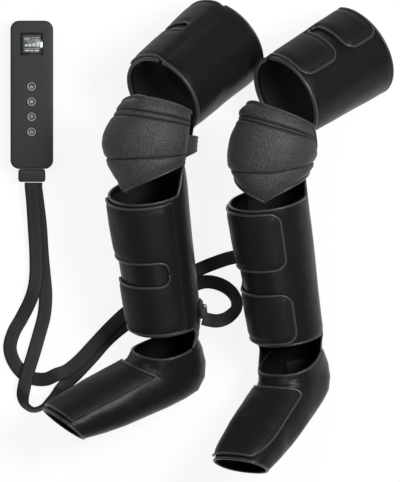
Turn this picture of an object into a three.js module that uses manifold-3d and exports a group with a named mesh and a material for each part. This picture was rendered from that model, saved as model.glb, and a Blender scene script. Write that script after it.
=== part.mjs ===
import * as THREE from "three";
import * as BufferGeometryUtils from "three/addons/utils/BufferGeometryUtils.js";
import Module from "manifold-3d";

const wasm = await Module();
wasm.setup();

// Millimetres, +Z up. The set lies on a flat surface at z = 0 and is seen from straight above.
// Picture places are pixels of the photograph, turned into millimetres by one scale.
const mmPerPixel = 1.72;
const pictureCentrePixelX = 202.4;
const pictureCentrePixelY = 237.4;

// Soft goods in general.
const seatGap = 0.6;
const faceGap = 0.3;
const coverThickness = 4;
const chamberThickness = 4;
const tabThickness = 4.4;
const tabCornerRadius = 20;
const slotCornerRadius = 16;

// Calf wrap, in a frame that stands on its bottom edge with +X to the toe and +Z to the knee.
const calfHeight = 246;
const calfBottomRadius = 58.5;
const calfTopRadius = 66.5;
const calfBackRise = 40;
const calfWrapStartAngle = -80;
const calfWrapEndAngle = 263;
const backPanelStartAngle = 108;
const backPanelFullAngle = 138;
const calfTabRootAngle = -97;
const calfTabEndAngle = 48;
const calfSlotEndAngle = -79;
const calfSlotHeight = 42;
const calfLowerTabHeight = 90;
const tabEdgeInset = 5;
const chamberInset = 9;

// Foot wrap, in the calf's frame before it turns about the ankle.
const footLength = 300;
const footHeelReach = 54;
const footDepth = 119;
const footWidth = 105;
const footRoundness = 2.3;
const ankleDepth = 36;
const collarSideDip = 9;
const ankleWebHalfAngle = 64;
const ankleWebCurveAngle = 9;
const footFlapRootAngle = -60;
const footFlapEndAngle = 60;
const footFlapCornerRadius = 26;
const footFlapGap = 1.2;
const footChamberHalfAngle = 60;

// Knee cover, about the knee's own centre.
const kneeRise = 96;
const kneeHeight = calfHeight + calfBackRise + kneeRise;
const kneeSetBack = 15;
const kneePadRadius = 76;
const kneePadTop = 50;
const kneePadTipDrop = 109;
const kneePadSideDrop = 34;
const kneePadHalfAngle = 105;
const kneePadThickness = 5;
const heatPadGap = 1.2;
const kneePadTiltAngle = 36;
const kneePadTiltStart = 62;
const heatPadHeight = 84;
const heatPadHalfAngle = 52;
const heatPadThickness = 3;
const kneeStrapHeight = 56;
const kneeStrapBackHeight = 34;
const kneeStrapThickness = 3;
const kneeStrapBackRadius = 69.0;
const kneeStrapBackDrop = 62;
const kneeWebHalfAngle = 52;
const kneeWebThickness = 2.4;

// Thigh wrap, along the thigh from the knee's centre.
const thighStart = 55;
const thighLength = 182;
const thighKneeRadius = 74.5;
const thighHipRadius = 81;
const thighWrapStartAngle = -9;
const thighWrapEndAngle = 342;
const thighTabRootAngle = -20;
const thighTabEndAngle = 56;
const thighSlotEndAngle = -4;
const thighSlotHeight = 20;
const thighLowerTabHeight = 82;
const thighSlotCornerRadius = 9;

// Hose inlet and connector on the medial back of each calf.
const inletAngle = -150;
const inletHalfAngle = 12;
const inletBottom = 8;
const inletHeight = 28;
const inletDepth = 6;
const connectorDepth = 11;
const connectorWidth = 26;
const connectorHeight = 18;
const connectorRise = 6;

// Hoses: flat twin-lumen ribbons.
const hoseWidth = 24;
const hoseThickness = 6;
const hoseSides = 8;

// Hand controller, lying on its back.
const caseWidth = 73;
const caseLength = 254;
const caseThickness = 34;
const caseCornerRadius = 15;
const caseEdgeRound = 3;
const caseWall = 2.4;
const caseTopPixelY = 21.5;
const caseMiddlePixelX = 32.4;
const casePartingHeight = 15;
const screenSize = 38;
const screenThickness = 1.6;
const screenStandProud = 0.5;
const screenMiddlePixelY = 44.8;
const screenWindowBorder = 3;
const displayThickness = 6;
const buttonDiameter = 15;
const buttonPitch = 25.9;
const firstButtonPixelY = 87.2;
const buttonCount = 4;
const buttonClearance = 0.35;
const buttonStandProud = 0.9;
const buttonHeight = 5;
const buttonTravel = 0.6;
const buttonFlange = 1.2;
const buttonFlangeThickness = 1;
const switchHeight = 1.6;
const switchSide = 6;
const boardThickness = 1.6;
const boardLength = 168;
const boardWidth = 58;
const pumpDiameter = 27;
const pumpLength = 58;
const valveWidth = 52;
const valveLength = 30;
const valveHeight = 16;
const batteryLength = 66;
const batteryWidth = 50;
const batteryHeight = 17;
const manifoldDiameter = 7;
const postDiameter = 8;
const postInset = 9.5;
const screwHeadDiameter = 5;
const screwHeadHeight = 2;
const screwShankDiameter = 2.4;
const screwLength = 16;
const screwClearance = 0.3;
const plugWidth = 46;
const plugLength = 22;
const plugHeight = 24;
const plugStandOff = 5;
const plugCornerRadius = 5;

// Cloth and case colours.
const clothColour = "#17171a";
const linerColour = "#0c0c0e";
const tabColour = "#1d1d20";
const kneeColour = "#222326";
const rubberColour = "#1a1b1c";
const caseColour = "#303134";
const hoseColour = "#2c2d2f";

// How each leg set lies: its side, the picture place of the calf's bottom edge, and its angles.
const layLeft = {
  name: "left",
  side: -1,
  ankleX: 166,
  ankleY: 324,
  ankleHeight: 78.5,
  lean: 7.7,
  tilt: 21.5,
  azimuth: 63,
  kneeAzimuth: 42.3,
  flex: 79,
  footTurn: 11,
  padTurn: 0,
};
const layRight = {
  name: "right",
  side: 1,
  ankleX: 287.6,
  ankleY: 335,
  ankleHeight: 87,
  lean: 8.6,
  tilt: 18.5,
  azimuth: 36,
  kneeAzimuth: 51.4,
  flex: 81,
  footTurn: 24,
  padTurn: 28,
};

// Foot sections from the toe to the collar: places along the instep and along the sole and heel,
// as shares of the foot's length and depth, then the width as a share of the foot's width.
const footSectionShares = [
  [1.007, 0.47, 0.88, 0.958, 0.9],
  [0.84, 0.42, 0.747, 0.992, 0.96],
  [0.707, 0.378, 0.613, 1, 1],
  [0.587, 0.353, 0.46, 1, 0.97],
  [0.493, 0.328, 0.313, 1, 0.92],
  [0.44, 0.311, 0.187, 1, 0.87],
  [0.407, 0.294, 0.097, 0.992, 0.85],
  [0.383, 0.277, 0.033, 0.89, 0.85],
  [0.367, 0.26, 0.003, 0.706, 0.86],
  [0.353, 0.244, 0, 0.487, 0.88],
  [0.343, 0.227, 0.013, 0.286, 0.88],
];

// Knee cover radius from the V tip to the collar: place and radius as shares.
const kneeRadiusShares = [
  [0, 0.86],
  [0.3, 0.95],
  [0.55, 1.01],
  [0.75, 1.01],
  [0.9, 0.96],
  [1, 0.93],
];

// Hose routes: picture x, picture y, height in millimetres, and turn about the run in degrees.
const leftHoseRoute = [
  [32, 182.7, 18, 0],
  [32, 187, 18, 0],
  [33.2, 200, 15, 0],
  [34.8, 225, 10, 0],
  [36.5, 255, 9.8, 0],
  [36.4, 276, 9.8, 0],
  [34, 291, 9.8, 0],
  [29.6, 303, 7, 0],
  [22, 318, 3.7, 0],
  [14.2, 332, 3.7, 0],
  [10.4, 346, 3.7, 0],
  [12.4, 357, 3.7, 0],
  [18, 367, 3.7, 0],
  [26, 375, 3.7, 0],
  [36, 378.6, 3.7, 0],
  [47, 378.6, 8, 0],
  [56.5, 374.4, 11.2, 0],
  [67, 370.5, 10.2, 0],
  [79, 361, 10.2, 0],
  [95, 344, 10.2, 0],
  [110, 328, 10.2, 0],
  [126, 313, 10.2, 0],
  [145, 300, 10.2, 0],
  [170, 284.5, 10.2, 0],
  [201, 268.5, 10.2, 0],
  [216, 262.5, 6, 0],
  [232, 257.5, 3.7, 0],
  [250, 256, 3.7, 0],
  [266, 262, 4.4, 0],
  [276, 274, 7, 0],
];
const rightHoseRoute = [
  [36, 182.7, 10.5, 0],
  [36, 187, 10.5, 0],
  [37.6, 200, 8, 0],
  [40.5, 225, 3.7, 0],
  [42.5, 255, 3.7, 0],
  [44.5, 276, 3.7, 0],
  [46, 295, 3.7, 0],
  [44.5, 315, 3.7, 0],
  [39.3, 335, 4.5, 0],
  [33, 357, 8.8, 0],
  [28, 373, 10.2, 0],
  [24.6, 387, 10.6, 0],
  [23.6, 397, 11, 30],
  [27, 405.5, 12.6, 62],
  [34, 409.4, 13, 72],
  [43, 406.6, 13, 72],
  [51, 398.5, 12.8, 66],
  [59, 391.4, 7, 26],
  [66.5, 383.2, 3.7, 0],
  [76, 374, 3.7, 0],
  [92, 357, 3.7, 0],
  [108, 339, 3.7, 0],
  [128, 322.5, 3.7, 0],
  [150, 309, 3.7, 0],
  [176, 294, 3.7, 0],
  [203, 282, 5, 0],
  [218, 283.5, 9, 12],
  [229, 289.5, 16, 25],
  [235.5, 298, 28, 35],
  [236, 307.5, 44, 35],
  [229, 315.5, 62, 22],
  [219, 320, 76, 10],
];
const leftHoseSteps = 36;
const rightHoseSteps = 42;

const tabPiece = "tab";

function pixelToX(pixel) {
  return (pixel - pictureCentrePixelX) * mmPerPixel;
}

function pixelToY(pixel) {
  return (pictureCentrePixelY - pixel) * mmPerPixel;
}

function cosine(angle) {
  return Math.cos(THREE.MathUtils.degToRad(angle));
}

function sine(angle) {
  return Math.sin(THREE.MathUtils.degToRad(angle));
}

function mix(from, to, share) {
  return from + (to - from) * share;
}

function smoothShare(value, from, to) {
  const share = Math.min(1, Math.max(0, (value - from) / (to - from)));
  return share * share * (3 - 2 * share);
}

// Even stations from one value to another.
function stations(from, to, count) {
  return Array.from({ length: count + 1 }, (unused, index) => mix(from, to, index / count));
}

// Stations that crowd towards both ends, where corners are rounded.
function crowdedStations(from, to, count) {
  return stations(0, 1, count).map((share) => mix(from, to, (1 - Math.cos(Math.PI * share)) / 2));
}

// How far an edge is drawn in by a corner of the given radius, at a distance from the end.
function cornerInset(distance, radius) {
  const left = Math.max(0, radius - distance);
  return radius - Math.sqrt(radius * radius - left * left);
}

// A table of [place share, value share] read at any place.
function readShares(shares, place) {
  const clamped = Math.min(1, Math.max(0, place));
  const next = Math.max(1, shares.findIndex((row) => row[0] >= clamped));
  const [low, high] = [shares[next - 1], shares[next]];
  return mix(low[1], high[1], (clamped - low[0]) / (high[0] - low[0]));
}

// A closed solid between an outer and an inner sheet. Both sheets give a point for every pair of
// stations. A ring that closes on itself has no end faces.
function sheetSolid(across, along, outer, inner, { ring = false, mirrored = false } = {}) {
  const places = [];
  const triangles = [];
  const columns = ring ? across.length - 1 : across.length;
  for (const sheet of [outer, inner]) {
    for (let i = 0; i < columns; i += 1) {
      for (let j = 0; j < along.length; j += 1) {
        const point = sheet(across[i], along[j]);
        places.push(point.x, mirrored ? -point.y : point.y, point.z);
      }
    }
  }
  const at = (sheet, i, j) => (sheet * columns + (i % columns)) * along.length + j;
  const face = (a, b, c, d) => {
    const corners = mirrored ? [a, c, b, a, d, c] : [a, b, c, a, c, d];
    triangles.push(...corners);
  };
  const last = along.length - 1;
  for (let i = 0; i < across.length - 1; i += 1) {
    for (let j = 0; j < last; j += 1) {
      face(at(0, i, j), at(0, i + 1, j), at(0, i + 1, j + 1), at(0, i, j + 1));
      face(at(1, i, j), at(1, i, j + 1), at(1, i + 1, j + 1), at(1, i + 1, j));
    }
    face(at(0, i, 0), at(1, i, 0), at(1, i + 1, 0), at(0, i + 1, 0));
    face(at(0, i, last), at(0, i + 1, last), at(1, i + 1, last), at(1, i, last));
  }
  if (!ring) {
    const end = across.length - 1;
    for (let j = 0; j < last; j += 1) {
      face(at(0, 0, j), at(0, 0, j + 1), at(1, 0, j + 1), at(1, 0, j));
      face(at(0, end, j), at(1, end, j), at(1, end, j + 1), at(0, end, j + 1));
    }
  }
  const geometry = new THREE.BufferGeometry();
  geometry.setAttribute("position", new THREE.Float32BufferAttribute(places, 3));
  geometry.setIndex(triangles);
  return geometry;
}

function toManifold(geometry) {
  const plain = geometry.clone();
  plain.deleteAttribute("normal");
  plain.deleteAttribute("uv");
  const merged = BufferGeometryUtils.mergeVertices(plain, seatGap / 1000);
  const vertProperties = new Float32Array(merged.attributes.position.array);
  const triVerts = new Uint32Array(merged.index.array);
  return new wasm.Manifold(new wasm.Mesh({ numProp: 3, vertProperties, triVerts }));
}

function fromManifold(solid) {
  const mesh = solid.getMesh();
  const geometry = new THREE.BufferGeometry();
  geometry.setAttribute("position", new THREE.Float32BufferAttribute(mesh.vertProperties, 3));
  geometry.setIndex(Array.from(mesh.triVerts));
  return geometry;
}

// Pieces added to the first solid, then pieces cut from it.
function formed(added, cut = []) {
  let solid = toManifold(added[0]);
  for (const piece of added.slice(1)) {
    solid = solid.add(toManifold(piece));
  }
  for (const piece of cut) {
    solid = solid.subtract(toManifold(piece));
  }
  return fromManifold(solid);
}

function finish(colour, roughness, metalness = 0) {
  return { colour, roughness, metalness };
}

function addPiece(group, name, geometry, { colour, roughness, metalness }, matrix) {
  if (matrix) {
    geometry.applyMatrix4(matrix);
  }
  geometry.deleteAttribute("normal");
  geometry.deleteAttribute("uv");
  const material = new THREE.MeshStandardMaterial({ color: colour, roughness, metalness });
  const mesh = new THREE.Mesh(geometry, material);
  mesh.name = name;
  group.add(mesh);
}

const cloth = finish(clothColour, 0.75);
const liner = finish(linerColour, 0.85);
const tabCloth = finish(tabColour, 0.7);
const kneeCloth = finish(kneeColour, 0.8);
const rubber = finish(rubberColour, 0.6);
const casePlastic = finish(caseColour, 0.55);
const hoseRubber = finish(hoseColour, 0.6);

// A point of a round wrap at an angle from the front, a radius and a height.
function ringPoint(angle, radius, height) {
  return new THREE.Vector3(radius * cosine(angle), radius * sine(angle), height);
}

// A wrap that tapers evenly from one radius to another along its length.
function taper(startRadius, endRadius, length) {
  return (height) => mix(startRadius, endRadius, height / length);
}

const calfRadius = taper(calfBottomRadius, calfTopRadius, calfHeight);
const thighRadius = taper(thighKneeRadius, thighHipRadius, thighLength);

// A curved panel of even thickness on a taper, between two edges that may vary with the angle.
function taperedPanel(across, along, radius, thickness, low, high, mirrored) {
  const place = (angle, share, offset) => {
    const height = mix(low(angle), high(angle), share);
    return ringPoint(angle, radius(height) - offset, height);
  };
  const outer = (angle, share) => place(angle, share, 0);
  const inner = (angle, share) => place(angle, share, thickness);
  return sheetSolid(across, along, outer, inner, { mirrored });
}

// The two closing tabs of a wrap. They meet behind the slot's rounded end, where both are sewn on.
function wrapTabs({ radius, root, end, slotEnd, lowerHeight, slotHeight, slotRound, top, mirrored }) {
  const outer = (height) => radius(height) + seatGap + tabThickness;
  const arc = (from, to) => (Math.abs(to - from) * Math.PI * radius(0)) / 180;
  const middle = tabEdgeInset + lowerHeight + slotHeight / 2;
  const fromEnd = (angle) => cornerInset(arc(angle, end), tabCornerRadius);
  const slotHalf = (angle) => {
    if (angle <= slotEnd) {
      return faceGap / 2;
    }
    const opened = slotHeight / 2 - cornerInset(arc(slotEnd, angle), slotRound);
    return Math.max(faceGap / 2, opened);
  };
  const rootStations = stations(root, slotEnd, 3);
  const slotDegrees = (slotRound * 180) / (Math.PI * radius(0));
  const roundStations = stations(slotEnd, slotEnd + slotDegrees, 4).slice(1);
  const cornerDegrees = (tabCornerRadius * 180) / (Math.PI * radius(0));
  const bodyStart = slotEnd + slotDegrees;
  const bodySteps = Math.max(2, Math.ceil((end - cornerDegrees - bodyStart) / 9));
  const bodyStations = stations(bodyStart, end - cornerDegrees, bodySteps).slice(1);
  const endStations = stations(0, 1, 5)
    .slice(1)
    .map((share) => end - cornerDegrees * (1 - Math.sin((Math.PI / 2) * share)));
  const across = [...rootStations, ...roundStations, ...bodyStations, ...endStations];
  const along = stations(0, 1, 2);
  const panel = (low, high) => taperedPanel(across, along, outer, tabThickness, low, high, mirrored);
  const lower = panel((angle) => tabEdgeInset + fromEnd(angle), (angle) => middle - slotHalf(angle) - fromEnd(angle));
  const upper = panel((angle) => middle + slotHalf(angle) + fromEnd(angle), (angle) => top - fromEnd(angle));
  return { lower, upper };
}

function addCalf(group, lay, matrix) {
  const mirrored = lay.side < 0;
  const high = (angle) => {
    const fromFront = Math.min(Math.abs(angle), Math.abs(angle - 360));
    return calfHeight + calfBackRise * smoothShare(fromFront, backPanelStartAngle, backPanelFullAngle);
  };
  const across = stations(calfWrapStartAngle, calfWrapEndAngle, 30);
  const along = stations(0, 1, 3);
  const wrap = taperedPanel(across, along, calfRadius, coverThickness, () => 0, high, mirrored);
  addPiece(group, `${lay.name}_calf_wrap`, wrap, cloth, matrix);

  const chamberRadius = (height) => calfRadius(height) - coverThickness - seatGap;
  const chamberAcross = across.slice(1, -1);
  const chamberLow = () => chamberInset;
  const chamberHigh = () => calfHeight - chamberInset;
  const chamber = taperedPanel(
    chamberAcross, along, chamberRadius, chamberThickness, chamberLow, chamberHigh, mirrored,
  );
  addPiece(group, `${lay.name}_calf_air_chamber`, chamber, liner, matrix);

  const tabs = wrapTabs({
    radius: calfRadius,
    root: calfTabRootAngle,
    end: calfTabEndAngle,
    slotEnd: calfSlotEndAngle,
    lowerHeight: calfLowerTabHeight,
    slotHeight: calfSlotHeight,
    slotRound: slotCornerRadius,
    top: calfHeight - tabEdgeInset,
    mirrored,
  });
  addPiece(group, `${lay.name}_calf_lower_${tabPiece}`, tabs.lower, tabCloth, matrix);
  addPiece(group, `${lay.name}_calf_upper_${tabPiece}`, tabs.upper, tabCloth, matrix);
}

// One point of the foot at an angle round its section, a place along it and a depth under its face.
function footPoint(angle, place, depth) {
  const last = footSectionShares.length - 1;
  const index = Math.min(last - 1, Math.max(0, Math.floor(place * last)));
  const part = place * last - index;
  const row = footSectionShares[index].map((value, column) => mix(value, footSectionShares[index + 1][column], part));
  const along = (share) => share * footLength - footHeelReach;
  const instep = new THREE.Vector3(along(row[0]), 0, -row[1] * footDepth);
  const sole = new THREE.Vector3(along(row[2]), 0, -row[3] * footDepth);
  const middle = instep.clone().add(sole).divideScalar(2);
  const upward = instep.clone().sub(sole);
  const halfDepth = upward.length() / 2 - depth;
  const halfWidth = (row[4] * footWidth) / 2 - depth;
  upward.normalize();
  const rounded = (value) => Math.sign(value) * Math.abs(value) ** (2 / footRoundness);
  const point = middle.addScaledVector(upward, halfDepth * rounded(cosine(angle)));
  point.y = halfWidth * rounded(sine(angle));
  const dip = collarSideDip * sine(angle) ** 2 * Math.max(0, place * last - last + 1);
  point.z -= dip;
  return point;
}

function footMatrix(lay) {
  const pivot = new THREE.Matrix4().makeTranslation(0, 0, -ankleDepth);
  const turn = new THREE.Matrix4().makeRotationY(THREE.MathUtils.degToRad(lay.footTurn));
  const back = new THREE.Matrix4().makeTranslation(0, 0, ankleDepth);
  return pivot.multiply(turn).multiply(back);
}

function addFoot(group, lay, matrix) {
  const mirrored = lay.side < 0;
  const placed = matrix.clone().multiply(footMatrix(lay));
  const last = footSectionShares.length - 1;
  const sections = stations(0, 1, last);
  const ring = stations(0, 360, 24);
  const skin = (depth) => (angle, place) => footPoint(angle, place, depth);
  const wrap = sheetSolid(ring, sections, skin(0), skin(coverThickness), { ring: true, mirrored });
  addPiece(group, `${lay.name}_foot_wrap`, wrap, cloth, placed);

  const soleAcross = stations(180 - footChamberHalfAngle, 180 + footChamberHalfAngle, 8);
  const chamberSections = stations(1 / last, 8 / last, 7);
  const top = coverThickness + seatGap;
  const chamber = sheetSolid(soleAcross, chamberSections, skin(top), skin(top + chamberThickness), { mirrored });
  addPiece(group, `${lay.name}_foot_air_chamber`, chamber, liner, placed);

  const flapAcross = stations(footFlapRootAngle, footFlapEndAngle, 8);
  const flapDepth = -footFlapGap - tabThickness;
  const arc = (angle) => ((footFlapEndAngle - angle) * Math.PI * footWidth) / 360;
  const edge = (angle) => cornerInset(arc(angle), footFlapCornerRadius) / footLength;
  const flapPoint = (depth) => (angle, share) => {
    const low = 0.02 + edge(angle) * 1.6;
    const high = 0.6 - edge(angle) * 1.6;
    return footPoint(angle, mix(low, high, share), depth);
  };
  const flapAlong = stations(0, 1, 8);
  const flap = sheetSolid(flapAcross, flapAlong, flapPoint(flapDepth), flapPoint(-footFlapGap), { mirrored });
  addPiece(group, `${lay.name}_foot_flap`, flap, tabCloth, placed);

  const web = (offset) => (angle, share) => {
    const bow = ankleWebCurveAngle * Math.sin(Math.PI * share);
    const side = (angle - 180) / ankleWebHalfAngle;
    const bowed = 180 + side * (ankleWebHalfAngle - bow);
    const calf = ringPoint(bowed, calfBottomRadius - offset, -faceGap);
    const collar = footPoint(bowed, 1, offset).applyMatrix4(footMatrix(lay));
    collar.z += seatGap;
    return collar.lerp(calf, share);
  };
  const webAcross = stations(180 - ankleWebHalfAngle, 180 + ankleWebHalfAngle, 12);
  const gusset = sheetSolid(webAcross, stations(0, 1, 4), web(0), web(kneeWebThickness), { mirrored });
  addPiece(group, `${lay.name}_ankle_gusset`, gusset, liner, matrix);
}

// The knee cover's own line: a tube that leans back more and more towards its collar.
function kneeFrame(height) {
  const count = 16;
  const place = new THREE.Vector3();
  const lean = (at) => kneePadTiltAngle * Math.max(0, (at + kneePadTiltStart) / (kneePadTop + kneePadTiltStart));
  for (let i = 0; i < count; i += 1) {
    const angle = lean((height * (i + 0.5)) / count);
    place.x -= (sine(angle) * height) / count;
    place.z += (cosine(angle) * height) / count;
  }
  const angle = lean(height);
  return { place, forward: new THREE.Vector3(cosine(angle), 0, sine(angle)) };
}

function kneePadRadiusAt(height) {
  return kneePadRadius * readShares(kneeRadiusShares, (height + kneePadTipDrop) / (kneePadTop + kneePadTipDrop));
}

function kneePoint(angle, height, offset, radius = kneePadRadiusAt(height)) {
  const { place, forward } = kneeFrame(height);
  const reach = radius - offset;
  const point = place.addScaledVector(forward, reach * cosine(angle));
  point.y = reach * sine(angle);
  return point;
}

function addKnee(group, lay, kneeMatrix) {
  const mirrored = lay.side < 0;
  const turn = new THREE.Matrix4().makeRotationZ(THREE.MathUtils.degToRad(lay.padTurn * lay.side));
  const placed = kneeMatrix.clone().multiply(turn);
  const low = (angle) => mix(-kneePadTipDrop, -kneePadSideDrop, (Math.abs(angle) / kneePadHalfAngle) ** 0.9);
  const across = stations(-kneePadHalfAngle, kneePadHalfAngle, 16);
  const along = stations(0, 1, 7);
  const padPoint = (offset) => (angle, share) => kneePoint(angle, mix(low(angle), kneePadTop, share), offset);
  const pad = sheetSolid(across, along, padPoint(0), padPoint(kneePadThickness), { mirrored });
  addPiece(group, `${lay.name}_knee_pad`, pad, kneeCloth, placed);

  const heatAcross = across.filter((angle) => Math.abs(angle) < heatPadHalfAngle);
  const heatTop = kneePadTop - chamberInset * 2;
  const heatPoint = (offset) => (angle, share) => {
    const bottom = Math.max(heatTop - heatPadHeight, low(angle) + chamberInset);
    return kneePoint(angle, mix(bottom, heatTop, share), kneePadThickness + heatPadGap + offset);
  };
  const heat = sheetSolid(heatAcross, stations(0, 1, 4), heatPoint(0), heatPoint(heatPadThickness), { mirrored });
  addPiece(group, `${lay.name}_knee_heat_pad`, heat, liner, placed);

  const strapStart = kneePadHalfAngle - 6;
  const strapPoint = (offset) => (angle, share) => {
    const back = Math.sin((Math.PI * (angle - strapStart)) / (360 - 2 * strapStart));
    const half = mix(kneeStrapHeight, kneeStrapBackHeight, back) / 2;
    const middle = mix(kneePadTop - kneeStrapHeight - chamberInset, -kneeStrapBackDrop, back);
    const height = middle + mix(-half, half, share);
    const inside = kneePadRadiusAt(height) - kneePadThickness - 2 * seatGap;
    return kneePoint(angle, height, offset, mix(inside, kneeStrapBackRadius, back));
  };
  const strapAcross = stations(strapStart, 360 - strapStart, 12);
  const strap = sheetSolid(strapAcross, stations(0, 1, 2), strapPoint(0), strapPoint(kneeStrapThickness), { mirrored });
  addPiece(group, `${lay.name}_knee_strap`, strap, tabCloth, placed);
}

function addThigh(group, lay, kneeMatrix) {
  const mirrored = lay.side < 0;
  const turn = new THREE.Matrix4().makeRotationY(THREE.MathUtils.degToRad(-lay.flex));
  const outward = new THREE.Matrix4().makeTranslation(0, 0, thighStart);
  const placed = kneeMatrix.clone().multiply(turn).multiply(outward);
  const across = stations(thighWrapStartAngle, thighWrapEndAngle, 30);
  const along = stations(0, 1, 2);
  const whole = () => thighLength;
  const wrap = taperedPanel(across, along, thighRadius, coverThickness, () => 0, whole, mirrored);
  addPiece(group, `${lay.name}_thigh_wrap`, wrap, cloth, placed);

  const chamberRadius = (height) => thighRadius(height) - coverThickness - seatGap;
  const chamberHigh = () => thighLength - chamberInset;
  const chamber = taperedPanel(
    across.slice(1, -1), along, chamberRadius, chamberThickness, () => chamberInset, chamberHigh, mirrored,
  );
  addPiece(group, `${lay.name}_thigh_air_chamber`, chamber, liner, placed);

  const tabs = wrapTabs({
    radius: thighRadius,
    root: thighTabRootAngle,
    end: thighTabEndAngle,
    slotEnd: thighSlotEndAngle,
    lowerHeight: thighLowerTabHeight,
    slotHeight: thighSlotHeight,
    slotRound: thighSlotCornerRadius,
    top: thighLength - tabEdgeInset,
    mirrored,
  });
  addPiece(group, `${lay.name}_thigh_lower_${tabPiece}`, tabs.lower, tabCloth, placed);
  addPiece(group, `${lay.name}_thigh_upper_${tabPiece}`, tabs.upper, tabCloth, placed);

  const thighTurn = turn.clone().multiply(outward);
  const toKnee = new THREE.Matrix4().makeTranslation(kneeSetBack, 0, -kneeHeight);
  const web = (offset) => (angle, share) => {
    const top = calfHeight + calfBackRise;
    const calf = ringPoint(angle, calfRadius(top) - offset, top + faceGap).applyMatrix4(toKnee);
    const thigh = ringPoint(angle, thighKneeRadius - offset, -faceGap).applyMatrix4(thighTurn);
    return calf.lerp(thigh, share);
  };
  const webAcross = stations(180 - kneeWebHalfAngle, 180 + kneeWebHalfAngle, 10);
  const gusset = sheetSolid(webAcross, stations(0, 1, 3), web(0), web(kneeWebThickness), { mirrored });
  addPiece(group, `${lay.name}_knee_gusset`, gusset, liner, kneeMatrix);
}

function addInlet(group, lay, matrix) {
  const mirrored = lay.side < 0;
  const angle = inletAngle + 360;
  const base = (height) => calfRadius(height) + seatGap;
  const across = stations(angle - inletHalfAngle, angle + inletHalfAngle, 4);
  const low = () => inletBottom;
  const high = () => inletBottom + inletHeight;
  const outer = (height) => base(height) + inletDepth;
  const inlet = taperedPanel(across, stations(0, 1, 2), outer, inletDepth, low, high, mirrored);
  addPiece(group, `${lay.name}_hose_inlet`, inlet, rubber, matrix);

  const connector = new THREE.BoxGeometry(connectorDepth, connectorWidth, connectorHeight);
  const reach = base(inletBottom + inletHeight) + inletDepth + faceGap + connectorDepth / 2;
  const middle = inletBottom + connectorRise + connectorHeight / 2;
  const turn = new THREE.Matrix4().makeRotationZ(THREE.MathUtils.degToRad(angle * lay.side));
  const place = new THREE.Matrix4().makeTranslation(reach, 0, middle);
  addPiece(group, `${lay.name}_hose_connector`, connector, rubber, matrix.clone().multiply(turn).multiply(place));
}

// Where a leg's hose meets its connector, and the way it leaves. The left one leaves outward, the
// right one along the calf.
function hosePort(lay, matrix) {
  const angle = (inletAngle + 360) * lay.side;
  const reach = calfRadius(inletBottom + inletHeight) + seatGap + inletDepth + faceGap;
  const middle = inletBottom + connectorRise + connectorHeight / 2;
  const out = new THREE.Vector3(cosine(angle), sine(angle), 0);
  const start = out.clone().multiplyScalar(reach + connectorDepth / 2);
  start.z = middle;
  const away = lay.side < 0 ? out.clone() : new THREE.Vector3(0, 0, 1);
  const half = lay.side < 0 ? connectorDepth / 2 : connectorHeight / 2;
  start.addScaledVector(away, half + faceGap);
  const far = start.clone().addScaledVector(away, hoseWidth / 2);
  return [far.applyMatrix4(matrix), start.applyMatrix4(matrix)];
}

// A flat hose along a route, its width level unless the route turns it.
function flatHose(route, ends, steps) {
  const points = route.map(([x, y, z]) => new THREE.Vector3(pixelToX(x), pixelToY(y), z));
  const turns = route.map((row) => row[3]);
  points.push(...ends);
  turns.push(...ends.map(() => 0));
  const curve = new THREE.CatmullRomCurve3(points, false, "centripetal");
  const spans = points.length - 1;
  const sections = stations(0, 1, steps).map((share) => {
    const place = curve.getPoint(share);
    const ahead = curve.getTangent(share);
    const span = Math.min(spans - 1, Math.floor(share * spans));
    const turned = THREE.MathUtils.degToRad(mix(turns[span], turns[span + 1], share * spans - span));
    const level = new THREE.Vector3(ahead.y, -ahead.x, 0).normalize();
    const across = level.applyAxisAngle(ahead, turned);
    return { place, across, up: across.clone().cross(ahead).normalize() };
  });
  const places = [];
  const triangles = [];
  const squared = (value) => Math.sign(value) * Math.abs(value) ** 0.5;
  for (const { place, across, up } of sections) {
    for (let k = 0; k < hoseSides; k += 1) {
      const angle = (2 * Math.PI * (k + 0.5)) / hoseSides;
      const point = place.clone();
      point.addScaledVector(across, (hoseWidth / 2) * squared(Math.cos(angle)));
      point.addScaledVector(up, (hoseThickness / 2) * squared(Math.sin(angle)));
      places.push(point.x, point.y, point.z);
    }
  }
  const at = (i, k) => i * hoseSides + (k % hoseSides);
  for (let i = 0; i < steps; i += 1) {
    for (let k = 0; k < hoseSides; k += 1) {
      triangles.push(at(i, k), at(i + 1, k), at(i + 1, k + 1), at(i, k), at(i + 1, k + 1), at(i, k + 1));
    }
  }
  for (let k = 1; k < hoseSides - 1; k += 1) {
    triangles.push(at(0, 0), at(0, k), at(0, k + 1));
    triangles.push(at(steps, 0), at(steps, k + 1), at(steps, k));
  }
  const geometry = new THREE.BufferGeometry();
  geometry.setAttribute("position", new THREE.Float32BufferAttribute(places, 3));
  geometry.setIndex(triangles);
  return geometry;
}

function roundedOutline(width, length, radius) {
  const shape = new THREE.Shape();
  const [x, y] = [width / 2, length / 2];
  shape.moveTo(-x + radius, -y);
  shape.lineTo(x - radius, -y);
  shape.absarc(x - radius, -y + radius, radius, -Math.PI / 2, 0, false);
  shape.lineTo(x, y - radius);
  shape.absarc(x - radius, y - radius, radius, 0, Math.PI / 2, false);
  shape.lineTo(-x + radius, y);
  shape.absarc(-x + radius, y - radius, radius, Math.PI / 2, Math.PI, false);
  shape.lineTo(-x, -y + radius);
  shape.absarc(-x + radius, -y + radius, radius, Math.PI, 1.5 * Math.PI, false);
  return shape;
}

// A flat block with rounded corners, standing on a height.
function roundedBlock(width, length, height, radius, base) {
  const settings = { depth: height, bevelEnabled: false, curveSegments: 5 };
  const geometry = new THREE.ExtrudeGeometry(roundedOutline(width, length, radius), settings);
  return geometry.translate(0, 0, base);
}

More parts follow.
